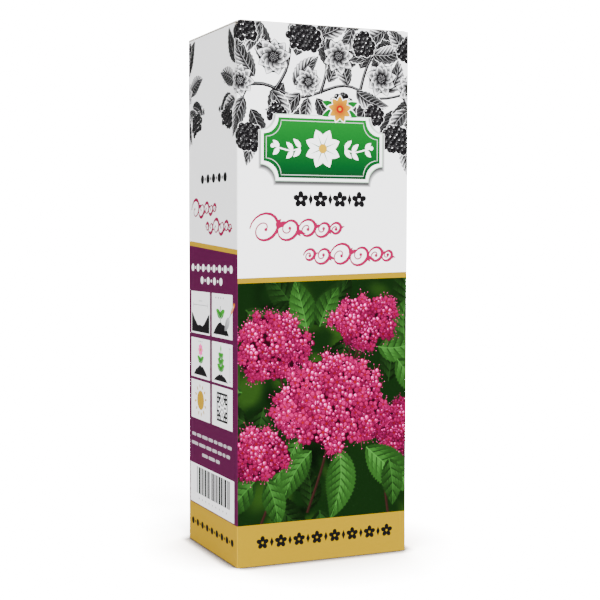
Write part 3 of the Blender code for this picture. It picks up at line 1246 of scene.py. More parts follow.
    def sun(self, card: Card) -> None:
        """Draw a sun with twelve rays.

        Args:
            card: The card that it is on.
        """
        centre, ink = self.at(card.middle, (card.z0 + card.z1) / 2), Flat(INK.sun)
        self.art.disc(centre, 4.6, ink, 24)
        for angle in (TURN * (k + 0.25) / 12 for k in range(12)):
            self.art.petal(polar(centre, 5.6, angle), polar(centre, 7.9, angle), 1.15, ink, points=5)

    def mosaic(self, card: Card) -> None:
        """Lay a quilt of small dark tiles that is the same turned any quarter.

        Args:
            card: The card that it is on.
        """
        cells, half, inset = 13, 7, 2.6
        size = min(card.wide, card.high) - 2 * inset
        step = size / cells
        left, low = card.middle - size / 2, (card.z0 + card.z1) / 2 - size / 2
        keep = {(i, j): self.draw.random() < 0.6 for i in range(half) for j in range(half)}
        for i in range(cells):
            for j in range(cells):
                a, b = min(i, cells - 1 - i), min(j, cells - 1 - j)
                if keep[(max(a, b), min(a, b))]:
                    x, z = self.at(left + i * step, low + j * step)
                    self.art.box(x, z, x + step, z + step, Flat(INK.soil))

    def drops(self, card: Card) -> None:
        """Draw three drops of water over a shoot.

        Args:
            card: The card that it is on.
        """
        self.mound(card.middle, card.z0 + 1.3, card.wide * 0.7, 3.8)
        self.sprout(card.middle, card.z0 + 4.8, 5.6)
        for k in (-1, 0, 1):
            x, z = self.at(card.middle + 4.6 * k, card.z0 + 14.5 + (0 if k else 1.4))
            self.art.petal((x, z + 2.1), (x, z - 1.6), 2.2, Flat(INK.water), points=7)

    def calendar(self, card: Card) -> None:
        """Draw a planting calendar of twelve fields, some of them green.

        Args:
            card: The card that it is on.
        """
        wide, high = (card.wide - 5.0) / 4, (card.high - 6.0) / 3
        for k in range(12):
            x, z = self.at(card.x0 + 2.5 + k % 4 * wide, card.z0 + 3.0 + k // 4 * high)
            ink = INK.sprout if k in (0, 3, 6, 7, 10, 11) else INK.month
            self.art.box(x + 0.3, z + 0.3, x + wide - 0.3, z + high - 0.3, Flat(ink))

    def bars(self) -> None:
        """Lay the white box with a run of plain upright bars."""
        self.art.box(*self.at(2.2, 19.1), *self.at(58.5, 38.0), Flat(INK.paper))
        x = 11.0
        while x < 53.0:
            wide = self.draw.choice((0.7, 0.7, 1.0, 1.0, 1.6, 2.2))
            self.art.box(*self.at(x, 24.2), *self.at(min(x + wide, 53.2), 37.0), Flat(INK.black))
            x += wide + self.draw.choice((0.4, 0.4, 0.6, 0.9, 1.3))
        self.dots(14.0, 21.9, 4.4, 9, 0.5, INK.grey)

    def dress(self) -> None:
        """Lay the whole guide."""
        art, start = self.art, self.start
        self.ground()
        Row(start + 17, 170.8, 33, 4.4, 5).beads(art)
        Scroll(start + 1.6, 146.0, 0.71, sweep=400.0, weight=1.5).draw(art)
        plan = [self.hole, self.trowel, self.flower, self.tall, self.sun, self.mosaic]
        heads = (4, 130.0, 53, 3.6, 8), (16, 124.2, 29.0, 3.6, 4)
        if self.mirrored:
            plan = [self.drops, self.calendar, self.tall, self.hole, self.flower, self.sun]
            heads = ((8, 126.5, 46, 4.0, 7),)
        for x, *sizes in heads:
            Row(start + x, *sizes, INK.paper).beads(art)
        cards = [Card(x0, z0, x1, z1) for z0, z1 in self.rows for x0, x1 in self.columns]
        for card in cards:
            art.box(*self.at(card.x0, card.z0), *self.at(card.x1, card.z1), Flat(INK.paper))
        for draw_card, card in zip(plan, cards):
            draw_card(card)
        for row in self.text_rows:
            self.dashes(*row)
        self.bars()
        Row(start + 4, 8.2, 54, 3.4, 9).beads(art)


def broad_wall(art: Artwork, start: float, seed: int, flip: bool) -> None:
    """Print one broad wall under its garland: picture, bands, plaque, heading and scrolls.

    Args:
        art: The blank's artwork.
        start: Place of the wall's left fold.
        seed: Start of the random draws.
        flip: Whether the slanted band falls the other way.
    """
    left_top, right_top = (130.2, 128.1) if flip else (128.1, 130.2)
    right = start + WIDE
    Picture(art, start, seed, left_top - 2.2, right_top - 2.2).paint(18.0)
    for far, near, ink in ((175, 175, INK.paper), (right_top, left_top, INK.yellow)):
        art.fill([(start, left_top - 2.3), (right, right_top - 2.6), (right, far), (start, near)], Flat(ink))
    art.box(start, FOOT, right, FOOT_EDGE, Flat(INK.yellow))
    Row(start + 9, 7.4, 69, 6.0, 8).fleurons(art)
    Plaque(art, (start + 41.3, 185.6)).lay()
    Row(start + 26.7, 159.2, 36.8, 7.5, 4).fleurons(art)
    Scroll(start + 1.5, 131.4).draw(art)


def blank_artwork() -> Artwork:
    """Print the whole blank.

    Returns:
        The artwork of all four walls.
    """
    art, broad = Artwork(), Artwork()
    for start, seed, flip in ((0.0, 11, False), (WIDE + DEEP, 29, True)):
        part = Artwork()
        broad_wall(part, start, seed, flip)
        inside = [(clip_to(outline, start, start + WIDE), paint) for outline, paint in part.shapes]
        broad.shapes += [shape for shape in inside if len(shape[0]) > 2]
        broad.lattice += part.lattice
    for start, seed, flip in ((0.0, 3, False), (WIDE + DEEP, 8, True)):
        Garland().engrave(art, start, seed, flip)
    for start, seed, mirrored in ((-DEEP, 5, False), (WIDE, 17, True)):
        SidePanel(art, start, seed, mirrored).dress()
    art.shapes += broad.shapes
    art.lattice += broad.lattice
    return art


def clip_to(outline: Line, left: float, right: float) -> Line:
    """Cut a shape at two upright lines.

    Args:
        outline: Corners of the shape.
        left: Place of the left line.
        right: Place of the right line.

    Returns:
        The corners of what lies between them, which is empty where nothing does.
    """
    for bound, sign in ((left, 1), (right, -1)):
        if all(sign * (x - bound) >= 0 for x, _ in outline):
            continue
        kept: Line = []
        for k, spot in enumerate(outline):
            before = outline[k - 1]
            here, there = sign * (spot[0] - bound), sign * (before[0] - bound)
            if (here >= 0) != (there >= 0):
                kept.append(along(before, spot, there / (there - here)))
            if here >= 0:
                kept.append(spot)
        outline = kept
        if len(outline) < 3:
            return []
    return outline if abs(twice_area(outline)) > LEAST_AREA else []


@dataclass
class Surface:
    """Triangles of a printed face: flat places, corners and the ink at each corner."""

    spots: Line
    faces: list[tuple[int, ...]]
    inks: list[Ink]


Shapes = Sequence[tuple[Line, Paint, float]]
Edge = tuple[int, int, int, int]


@dataclass
class Cutter:
    """Cuts a flat upright sheet into triangles along the printed shapes that can be seen.

    Shapes are given as an outline on the sheet, a paint, and how far the paint's own places are
    to the right. The lines are ends of straight lines that the triangles keep, two by two, and
    the lattice is extra points for soft tones.
    """

    wide: float
    high: float
    lines: Line
    lattice: Line = field(default_factory=list)

    @property
    def outline(self) -> Line:
        """Return the corners of the sheet."""
        return [(0.0, 0.0), (self.wide, 0.0), (self.wide, self.high), (0.0, self.high)]

    def overlay(self, shapes: Shapes) -> tuple[np.ndarray, np.ndarray, np.ndarray]:
        """Cut the sheet along every shape, and find the topmost shape of each triangle.

        Args:
            shapes: The printed shapes.

        Returns:
            Points, triangles, and each triangle's topmost shape, 0 for bare board and -1 outside.
        """
        verts, faces = [], []
        for points in (self.outline, *(shape[0] for shape in shapes)):
            faces.append(list(range(len(verts), len(verts) + len(points))))
            verts.extend(Vector(p) for p in points)
        first = len(verts)
        verts.extend(Vector(p) for p in ((-FAR, -FAR), (FAR, -FAR), (FAR, FAR), (-FAR, FAR)))
        out, _, found, origins, _, owners = delaunay_2d_cdt(verts, [], faces, 0, JOINED, True)
        corners = {k for k, sources in enumerate(origins) if any(source >= first for source in sources)}
        spilt = {owner for face, owned in zip(found, owners) if corners & set(face) for owner in owned}
        if spilt:
            log.warning("left out %d crossed shapes: %s", len(spilt), sorted(spilt)[:6])
            owners = [[owner for owner in owned if owner not in spilt] for owned in owners]
        top = np.array([max(owned) if 0 in owned else -1 for owned in owners])
        spots = np.array([(v.x, v.y) for v in out])
        for axis, far in enumerate((self.wide, self.high)):
            for end in (0.0, far):
                spots[np.abs(spots[:, axis] - end) < 10 * JOINED, axis] = end
        return spots, np.array(found), top

    @staticmethod
    def partners(faces: np.ndarray, count: int) -> tuple[np.ndarray, np.ndarray]:
        """Find what lies beyond each edge of some triangles.

        Args:
            faces: The triangles.
            count: Number of points.

        Returns:
            Their directed edges and, for each, the triangle on its other side, or -1.
        """
        edges = faces[:, [0, 1, 1, 2, 2, 0]].reshape(-1, 2).astype(np.int64)
        key, back = edges[:, 0] * count + edges[:, 1], edges[:, 1] * count + edges[:, 0]
        order = np.argsort(key)
        spot = np.clip(np.searchsorted(key[order], back), 0, len(key) - 1)
        return edges, np.where(key[order][spot] == back, order[spot] // 3, -1)

    def visible(self, spots: np.ndarray, faces: np.ndarray, top: np.ndarray) -> list[Edge]:
        """Return the edges between what looks different, as straight and long as they are.

        Args:
            spots: Points of the overlay.
            faces: Its triangles.
            top: Their topmost shapes.

        Returns:
            Start, end, shape on the left and shape on the right of each edge.
        """
        edges, other = self.partners(faces, len(spots))
        left = np.repeat(top, 3)
        right = np.where(other >= 0, top[other], -1)
        keep = (left != right) & ((left > right) | (right < 0)) & (left >= 0)
        after: dict[int, list[Edge]] = {}
        for (a, b), on_left, on_right in zip(edges[keep].tolist(), left[keep].tolist(), right[keep].tolist()):
            for end in (a, b):
                after.setdefault(end, []).append((a, b, on_left, on_right))
        alive = {edge for touching in after.values() for edge in touching}
        for corner, touching in after.items():
            if len(touching) != 2:
                continue
            first, second = touching
            if first[1] != corner:
                first, second = second, first
            if first[1] != corner or second[0] != corner or first[2:] != second[2:]:
                continue
            a, b, c = spots[first[0]], spots[corner], spots[second[1]]
            bow = (b[0] - a[0]) * (c[1] - b[1]) - (b[1] - a[1]) * (c[0] - b[0])
            joined = (first[0], second[1], *first[2:])
            bent = abs(bow) > STRAIGHT * math.hypot(*(c - a)) or (b - a) @ (c - b) <= 0
            if bent or joined[0] == joined[1] or joined in alive:
                continue
            alive -= {first, second}
            alive.add(joined)
            for end, old in ((joined[0], first), (joined[1], second)):
                after[end][after[end].index(old)] = joined
        return sorted(alive)

    def cut(self, shapes: Shapes) -> Surface:
        """Cut the sheet along the visible edges and ink every corner.

        Args:
            shapes: The printed shapes.

        Returns:
            The triangles inside the outline, with their inks.
        """
        spots, faces, top = self.overlay(shapes)
        seams = self.visible(spots, faces, top)
        used = sorted({corner for seam in seams for corner in seam[:2]})
        number = {corner: k for k, corner in enumerate(used)}
        edges = [(number[seam[0]], number[seam[1]]) for seam in seams]
        edges += [(len(used) + k, len(used) + k + 1) for k in range(0, len(self.lines), 2)]
        verts = [Vector(spot) for spot in (*(spots[corner] for corner in used), *self.lines, *self.lattice)]
        out, out_edges, found, _, sources, _ = delaunay_2d_cdt(verts, edges, [], 0, JOINED, True)
        sides, other = self.partners(np.array(found), len(out))
        owner = {(a, b): k // 3 for k, (a, b) in enumerate(sides.tolist())}
        label: list[int | None] = [None] * len(found)
        walls = set()
        for (a, b), source in zip(out_edges, sources):
            seam = next((k for k in source if k < len(seams)), None)
            if seam is None:
                continue
            walls |= {(a, b), (b, a)}
            start, end = (verts[corner] for corner in edges[seam])
            if (out[b] - out[a]).dot(end - start) < 0:
                a, b = b, a
            for way, shape in (((a, b), seams[seam][2]), ((b, a), seams[seam][3])):
                if way in owner:
                    label[owner[way]] = shape
        queue = [k for k, shape in enumerate(label) if shape is not None]
        while queue:
            face = queue.pop()
            for k in range(3 * face, 3 * face + 3):
                beyond = other[k]
                if beyond >= 0 and label[beyond] is None and tuple(sides[k].tolist()) not in walls:
                    label[beyond] = label[face]
                    queue.append(int(beyond))
        kept, inks = [], []
        paints = [(Flat(INK.paper), 0.0), *(shape[1:] for shape in shapes)]
        for face, shape in zip(found, label):
            if shape is None or shape < 0:
                continue
            paint, shift = paints[shape]
            kept.append(tuple(face))
            inks += [paint.at(out[corner].x + shift, out[corner].y) for corner in face]
        log.info("cut %d triangles down to %d", len(top), len(kept))
        return Surface([(v.x, v.y) for v in out], kept, inks)


def border(faces: Sequence[tuple[int, ...]]) -> list[int]:
    """Return the outer loop of a set of faces.

    Args:
        faces: Corners of each face.

    Returns:
        The corners of the loop, in the faces' turning direction.
    """
    known = {(a, b) for face in faces for a, b in zip(face, face[1:] + face[:1])}
    ahead = {a: b for a, b in known if (b, a) not in known}
    loop = [min(ahead)]
    while ahead[loop[-1]] != loop[0]:
        loop.append(ahead[loop[-1]])
    return loop


Place = Callable[[float, float, float], tuple[Vector, Vector]]


def board_solid(
    name: str, surface: Surface, lines: Line, place: Place, width: float, height: float
) -> bpy.types.Object:
    """Give a printed face its board: thickness, plain inner face and cut edges.

    Args:
        name: Name of the piece.
        surface: The printed face on the flat sheet.
        lines: Straight lines that the inner face keeps too, two by two.
        place: Folds a flat place and a depth to a point and its outward normal, in mm.
        width: Width of the sheet, for its map.
        height: Height of the sheet, for its map.

    Returns:
        The piece, one closed solid in metres.
    """
    used = sorted({corner for face in surface.faces for corner in face})
    number = {corner: k for k, corner in enumerate(used)}
    faces = [tuple(number[c] for c in face) for face in surface.faces]
    flat = [surface.spots[c] for c in used]
    loop = border(faces)
    rim = [Vector(flat[k]) for k in loop] + [Vector(p) for p in lines]
    pairs = [(len(loop) + k, len(loop) + k + 1) for k in range(0, len(lines), 2)]
    out, _, inner, origins, _, owners = delaunay_2d_cdt(rim, pairs, [list(range(len(loop)))], 0, JOINED, True)
    twin = {source: len(flat) + k for k, sources in enumerate(origins) for source in sources}
    everything = flat + [(v.x, v.y) for v in out]
    placed = [place(x, z, 0.0 if k < len(flat) else BOARD) for k, (x, z) in enumerate(everything)]
    count = len(faces)
    faces += [tuple(len(flat) + c for c in reversed(face)) for face, owner in zip(inner, owners) if owner]
    middle = len(faces)
    for k, here in enumerate(loop):
        after = (k + 1) % len(loop)
        faces.append((here, twin[k], twin[after], loop[after]))
    mesh = bpy.data.meshes.new(name)
    mesh.from_pydata([point * MM for point, _ in placed], [], faces)
    mesh.polygons.foreach_set("use_smooth", [True] * len(mesh.polygons))
    colours = [part for ink in surface.inks for part in (*ink, 1.0)]
    colours += [*BARE] * (len(mesh.loops) - len(surface.inks))
    mesh.attributes.new("ink", "FLOAT_COLOR", "CORNER").data.foreach_set("color", colours)
    normals: list[Vector] = []
    uvs: list[float] = []
    for index, polygon in enumerate(mesh.polygons):
        turned = Vector(polygon.normal)
        printed = index < count
        left, wide = (0.002, 0.933) if printed else (0.94, 0.058)
        for vertex in polygon.vertices:
            x, z = everything[vertex]
            uvs += (left + wide * (x / width), 0.002 + 0.996 * (z / height))
            outward = placed[vertex][1]
            normals.append(outward if printed else -outward if index < middle else turned)
    mesh.uv_layers.new(name="OFBake").data.foreach_set("uv", uvs)
    mesh.normals_split_custom_set(normals)
    mesh.validate(clean_customdata=False)
    piece = bpy.data.objects.new(name, mesh)
    bpy.context.scene.collection.objects.link(piece)
    return piece


@dataclass
class Wall:
    """One wall of the sleeve: where its run of the blank starts and where it stands."""

    name: str
    node: str
    slot: Slot
    start: float
    length: float
    corner: Point
    heading: Point
    outward: Point
    top: float
    fold: float = 1.0
    foot: float = 0.45
    margin: float = 60.0

    @property
    def quarter(self) -> float:
        """Return the length of the bend that each fold gives to this wall."""
        return self.fold * math.pi / 4

    def place(self, x: float, z: float, depth: float) -> tuple[Vector, Vector]:
        """Fold a flat place to its point in space.

        Args:
            x: Place across the wall, from its left fold.
            z: Height.
            depth: Distance inwards from the printed face.

        Returns:
            The point in mm and the outward normal there.
        """
        flat = self.length - 2 * self.fold
        run = x * (flat + 2 * self.quarter) / self.length - self.quarter
        tilt = math.asin(min(1.0, (self.foot - z) / self.foot)) * 0.8 if z < self.foot else 0.0
        inset = depth + self.foot * (1 - math.cos(tilt))
        beyond = min(run, 0.0) + max(run - flat, 0.0)
        turn, reach = beyond / self.fold, self.fold - inset
        t = self.fold + min(max(run, 0.0), flat) + reach * math.sin(turn)
        n = reach * math.cos(turn) - self.fold
        (cx, cy), (tx, ty), (nx, ny) = self.corner, self.heading, self.outward
        side, out = math.sin(turn), math.cos(turn)
        normal = Vector((tx * side + nx * out, ty * side + ny * out, 0.0)) * math.cos(tilt)
        return Vector((cx + tx * t + nx * n, cy + ty * t + ny * n, z)), normal - Vector((0, 0, math.sin(tilt)))

    def creases(self) -> Line:
        """Return the lines along which the flat sheet bends, two points for each."""
        share = self.length / (self.length - 2 * self.fold + 2 * self.quarter)
        columns = [self.quarter * k / 3 * share for k in (1, 2, 3)]
        columns += [self.length - c for c in columns]
        lines = [(x, z) for x in columns for z in (0.0, self.top)]
        return lines + [(x, self.foot * k / 3) for k in (1, 2, 3) for x in (0.0, self.length)]

    def build(self, art: Artwork) -> bpy.types.Object:
        """Build the wall with its print.

        Args:
            art: The blank's artwork.

        Returns:
            The wall.
        """
        ring = 2 * (WIDE + DEEP)
        shapes = []
        for shift in (self.start - ring, self.start, self.start + ring):
            for outline, paint in art.shapes:
                low, high = min(x for x, _ in outline) - shift, max(x for x, _ in outline) - shift
                near = low > -self.margin and high < self.length + self.margin
                if high > 1e-4 and low < self.length - 1e-4 and near:
                    shapes.append(([(x - shift, z) for x, z in outline], paint, shift))
        lattice = [(x - self.start, z) for x, z in art.lattice if z < self.top - 0.3]
        lattice = [(x, z) for x, z in lattice if 0.3 < x < self.length - 0.3]
        surface = Cutter(self.length, self.top, self.creases(), lattice).cut(shapes)
        piece = board_solid(self.name, surface, self.creases(), self.place, self.length, HIGH)
        log.info("%s: %d faces from %d shapes", self.name, len(piece.data.polygons), len(shapes))
        return piece


@dataclass
class Lid:
    """The lid panel with the crease that joins it to the back wall."""

    half_width: float = 42.2
    crease: float = 0.6
    rise: float = 0.4
    front: float = -29.2
    leaves: tuple = ((12, 62, 12), (20, 40, 12), (27, 60, 11), (14, -55, 12), (23, -48, 12), (32, -8, 8))

    @property
    def flat_start(self) -> float:
        """Return how far along the sheet the level part starts."""
        return self.rise + self.crease * math.pi / 2

    @property
    def length(self) -> float:
        """Return the whole length of the sheet, from the back wall to the front crease."""
        return self.flat_start + DEEP / 2 - self.crease - self.front

    def place(self, x: float, z: float, depth: float) -> tuple[Vector, Vector]:
        """Fold a flat place of the lid's sheet to its point in space.

        Args:
            x: Place across the sheet.
            z: Place along it, from the back wall.
            depth: Distance inwards from the printed face.

        Returns:
            The point in mm and the outward normal there.
        """
        side = self.half_width - x
        centre = Vector((side, DEEP / 2 - self.crease, HIGH - self.crease))
        if z < self.rise:
            return Vector((side, DEEP / 2 - depth, HIGH - self.crease - self.rise + z)), Vector((0, 1, 0))
        if z < self.flat_start:
            turn = (z - self.rise) / self.crease
            normal = Vector((0, math.cos(turn), math.sin(turn)))
            return centre + normal * (self.crease - depth), normal
        return Vector((side, centre.y - (z - self.flat_start), HIGH - depth)), Vector((0, 0, 1))

    def engrave(self, art: Artwork) -> None:
        """Draw a daisy with a leafy stem and berries on each side of it.

        Args:
            art: The sheet's artwork.
        """
        pen = Engraver(art, 41)
        x, z = self.half_width, self.length / 2 + 1
        for side in (1, -1):
            pen.stem([(x + side * 7, z), (x + side * 20, z + 3), (x + side * 34, z - 2)], 0.6)
            for reach, angle, size in self.leaves:
                lean = angle if side > 0 else 180 - angle
                pen.leaf((x + side * reach, z + 1.5 - reach * 0.03), lean, size, size * 0.42)
            pen.bunch((x + side * 31, z - 1), 270, 8, 1.2)
        pen.daisy((x, z), 9.0, 14)

    def build(self) -> bpy.types.Object:
        """Build the lid with its print."""
        wide, art = 2 * self.half_width, Artwork()
        art.box(0, 0, wide, self.rise + 1.9, Flat(INK.paper))
        self.engrave(art)
        levels = (self.rise + self.crease * math.pi / 2 * k / 5 for k in range(6))
        lines = [(x, z) for z in levels for x in (0.0, wide)]
        surface = Cutter(wide, self.length, lines).cut([(outline, paint, 0.0) for outline, paint in art.shapes])
        return board_solid("lid_print", surface, lines, self.place, wide, self.length)


class Bench:
    """Modelling by Blender's own operators, on one piece at a time."""

    @staticmethod
    def clear() -> None:
        """Leave nothing selected, in object mode."""
        if bpy.context.mode != "OBJECT":
            bpy.ops.object.mode_set(mode="OBJECT")
        bpy.ops.object.select_all(action="DESELECT")

    @staticmethod
    def pick(piece: bpy.types.Object, kind: str, test: Callable[[Vector], bool]) -> None:
        """Select the corners or edges of a piece by the place of their corners.

        Args:
            piece: The piece, which is left in edit mode.
            kind: VERT or EDGE.
            test: Tells of a corner whether it is wanted.
        """
        bpy.ops.object.mode_set(mode="EDIT")
        bpy.ops.mesh.select_mode(type=kind)
        bpy.ops.mesh.select_all(action="DESELECT")
        bpy.ops.object.mode_set(mode="OBJECT")
        corners = piece.data.vertices
        if kind == "VERT":
            for corner in corners:
                corner.select = test(corner.co)
        else:
            for edge in piece.data.edges:
                edge.select = all(test(corners[k].co) for k in edge.vertices)
                for k in edge.vertices if edge.select else ():
                    corners[k].select = True
        bpy.ops.object.mode_set(mode="EDIT")

    @staticmethod
    def apply_all(piece: bpy.types.Object) -> None:
        """Apply every modifier of a piece, in order."""
        bpy.context.view_layer.objects.active = piece
        for modifier in list(piece.modifiers):
            bpy.ops.object.modifier_apply(modifier=modifier.name)


@dataclass
class Flap:
    """A flap with its crease: a strip that rolls over and runs on as a tapered tongue.

    The strip starts at a line along its crease, runs ahead by the lead, turns about the crease
    towards the back of its printed side, and then runs straight. Lengths are in mm.
    """

    name: str
    start: Vector
    half_length: float
    across: Vector
    ahead: Vector
    normal: Vector
    turn: float
    reach: float
    taper_low: float
    taper_high: float
    corner: float
    crease: float = 0.6
    lead: float = 0.4
    near: float = 1e-6

    def strip(self) -> bpy.types.Object:
        """Lay the strip that leads to the bend.

        Returns:
            The strip, as a plane with its middle at the origin.
        """
        Bench.clear()
        bpy.ops.mesh.primitive_plane_add(size=1.0)
        piece = bpy.context.active_object
        piece.name = piece.data.name = self.name
        side, front = self.across * self.half_length, self.ahead * self.lead
        corners = [self.start - side, self.start + side, self.start + side + front, self.start - side + front]
        for vertex, spot in zip((0, 1, 3, 2), corners):
            piece.data.vertices[vertex].co = spot * MM
        piece.location = (0, 0, 0)
        return piece

    def build(self) -> bpy.types.Object:
        """Model the flap from a narrow plane by spin, extrude, move and bevel.

        Returns:
            The flap as a plate of board, its printed side out.
        """
        piece, axis, ahead, normal = self.strip(), self.across, self.ahead, self.normal
        way = 1.0 if axis.cross(ahead).dot(normal) > 0 else -1.0
        lead_end = self.start + ahead * self.lead
        edge_level = lead_end.dot(ahead) * MM
        centre = (lead_end - normal * self.crease) * MM
        Bench.pick(piece, "EDGE", lambda co: abs(co.dot(ahead) - edge_level) < self.near)
        bpy.ops.mesh.spin(steps=6, angle=way * self.turn, center=centre, axis=axis)
        bpy.ops.object.mode_set(mode="OBJECT")
        cos, sin = math.cos(self.turn), math.sin(self.turn)
        out = ahead * cos - normal * sin
        level = (centre + (normal * cos + ahead * sin) * self.crease * MM).dot(out)
        Bench.pick(piece, "EDGE", lambda co: abs(co.dot(out) - level) < self.near)
        bpy.ops.mesh.extrude_region_move(TRANSFORM_OT_translate={"value": out * self.reach * MM})
        tip = level + self.reach * MM

        def at_tip(co: Vector) -> bool:
            """Tell whether a corner is on the tongue's free edge."""
            return abs(co.dot(out) - tip) < 10 * self.near

        for sign, taper in ((-1, self.taper_low), (1, self.taper_high)):
            Bench.pick(piece, "VERT", lambda co: at_tip(co) and sign * (co - self.start * MM).dot(axis) > 0)
            bpy.ops.transform.translate(value=axis * -sign * taper * MM)
        Bench.pick(piece, "VERT", at_tip)
        bpy.ops.mesh.bevel(offset=self.corner * MM, segments=6, affect="VERTICES")
        bpy.ops.mesh.select_all(action="SELECT")
        bpy.ops.mesh.remove_doubles(threshold=self.near)
        bpy.ops.mesh.normals_make_consistent(inside=False)
        bpy.ops.object.mode_set(mode="OBJECT")
        if sum(p.normal.dot(normal) * p.area for p in piece.data.polygons if abs(p.normal.dot(axis)) < 0.1) < 0:
            piece.data.flip_normals()
        return piece

    def thicken(self, piece: bpy.types.Object) -> None:
        """Give the flap its board, with the raw side and cut edges in the second material.

        Args:
            piece: The flap as a sheet.
        """
        board = piece.modifiers.new("board", "SOLIDIFY")
        board.thickness, board.offset, board.use_even_offset = BOARD * MM, -1.0, True
        board.material_offset = board.material_offset_rim = 1
        Bench.apply_all(piece)
        for polygon in piece.data.polygons:
            polygon.use_smooth = False


class Nodes:
    """Short calls for laying out one node tree."""

    def __init__(self, tree: bpy.types.NodeTree) -> None:
        """Keep the tree."""
        self.tree = tree

    def add(self, kind: str, **values: object) -> bpy.types.Node:
        """Add a node, with values for its settings."""
        node = self.tree.nodes.new(kind)
        for key, value in values.items():
            setattr(node, key, value)
        return node

    def link(self, source: bpy.types.NodeSocket, target: bpy.types.NodeSocket) -> None:
        """Join an output to an input."""
        self.tree.links.new(source, target)

    def feed(self, node: bpy.types.Node, values: dict[int, object]) -> None:
        """Fill inputs of a node.

        Args:
            node: The node.
            values: Socket, number or colour for each input's number.
        """
        for index, value in values.items():
            if isinstance(value, bpy.types.NodeSocket):
                self.link(value, node.inputs[index])
            else:
                node.inputs[index].default_value = value if isinstance(value, (int, float)) else (*value, 1.0)

    def math(self, operation: str, *values: object) -> bpy.types.NodeSocket:
        """Add a maths node.

        Args:
            operation: Its operation.
            values: Socket or number for each of its inputs.

        Returns:
            Its output.
        """
        node = self.add("ShaderNodeMath", operation=operation)
        self.feed(node, dict(enumerate(values)))
        return node.outputs[0]

    def noise(self, vector: bpy.types.NodeSocket, size: float, detail: float = 2.0) -> bpy.types.NodeSocket:
        """Add a noise.

        Args:
            vector: Its place.
            size: Size of its features in metres, more or less.
            detail: Its finer layers.

        Returns:
            Its value.
        """
        node = self.add("ShaderNodeTexNoise")
        node.inputs["Scale"].default_value = 1.0 / size
        node.inputs["Detail"].default_value = detail
        self.link(vector, node.inputs["Vector"])
        return node.outputs["Fac"]

    def blend(self, share: object, first: object, second: object, mode: str = "MIX") -> bpy.types.NodeSocket:
        """Mix two colours.

        Args:
            share: Socket or number for the share of the second colour.
            first: Socket or colour.
            second: Socket or colour.
            mode: Way of mixing.

        Returns:
            The mixed colour.
        """
        node = self.add("ShaderNodeMix", data_type="RGBA", blend_type=mode)
        self.feed(node, {0: share, 6: first, 7: second})
        return node.outputs[2]

    def tint(self, light: bpy.types.NodeSocket, colour: Ink) -> bpy.types.NodeSocket:
        """Return a colour made lighter or darker by a value."""
        node = self.add("ShaderNodeCombineColor")
        self.feed(node, {index: self.math("MULTIPLY", light, part) for index, part in enumerate(colour)})
        return node.outputs[0]

    def bump(self, height: bpy.types.NodeSocket, strength: float, depth: float, shader: bpy.types.Node) -> None:
        """Roughen a shader by a height.

        Args:
            height: The height.
            strength: How much of it shows.
            depth: Its depth in metres.
            shader: The shader.
        """
        node = self.add("ShaderNodeBump")
        node.inputs["Strength"].default_value = strength
        node.inputs["Distance"].default_value = depth
        self.link(height, node.inputs["Height"])
        self.link(node.outputs[0], shader.inputs["Normal"])


@dataclass(frozen=True)
class StudioLight:
    """One broad soft light from far off."""

    name: str
    azimuth: float
    elevation: float
    strength: float
    spread: float

    def hang(self) -> None:
        """Hang the light on its own side, unseen in gloss."""
        data = bpy.data.lights.new(self.name, "SUN")
        data.energy, data.angle = self.strength, math.radians(self.spread)
        lamp = bpy.data.objects.new(self.name, data)
        bpy.context.scene.collection.objects.link(lamp)
        azimuth, elevation = math.radians(self.azimuth), math.radians(self.elevation)
        level = math.cos(elevation)
        source = Vector((math.cos(azimuth) * level, math.sin(azimuth) * level, math.sin(elevation)))
        lamp.rotation_euler = source.to_track_quat("Z", "Y").to_euler()
        lamp.location = source * 3
        lamp.visible_glossy = False


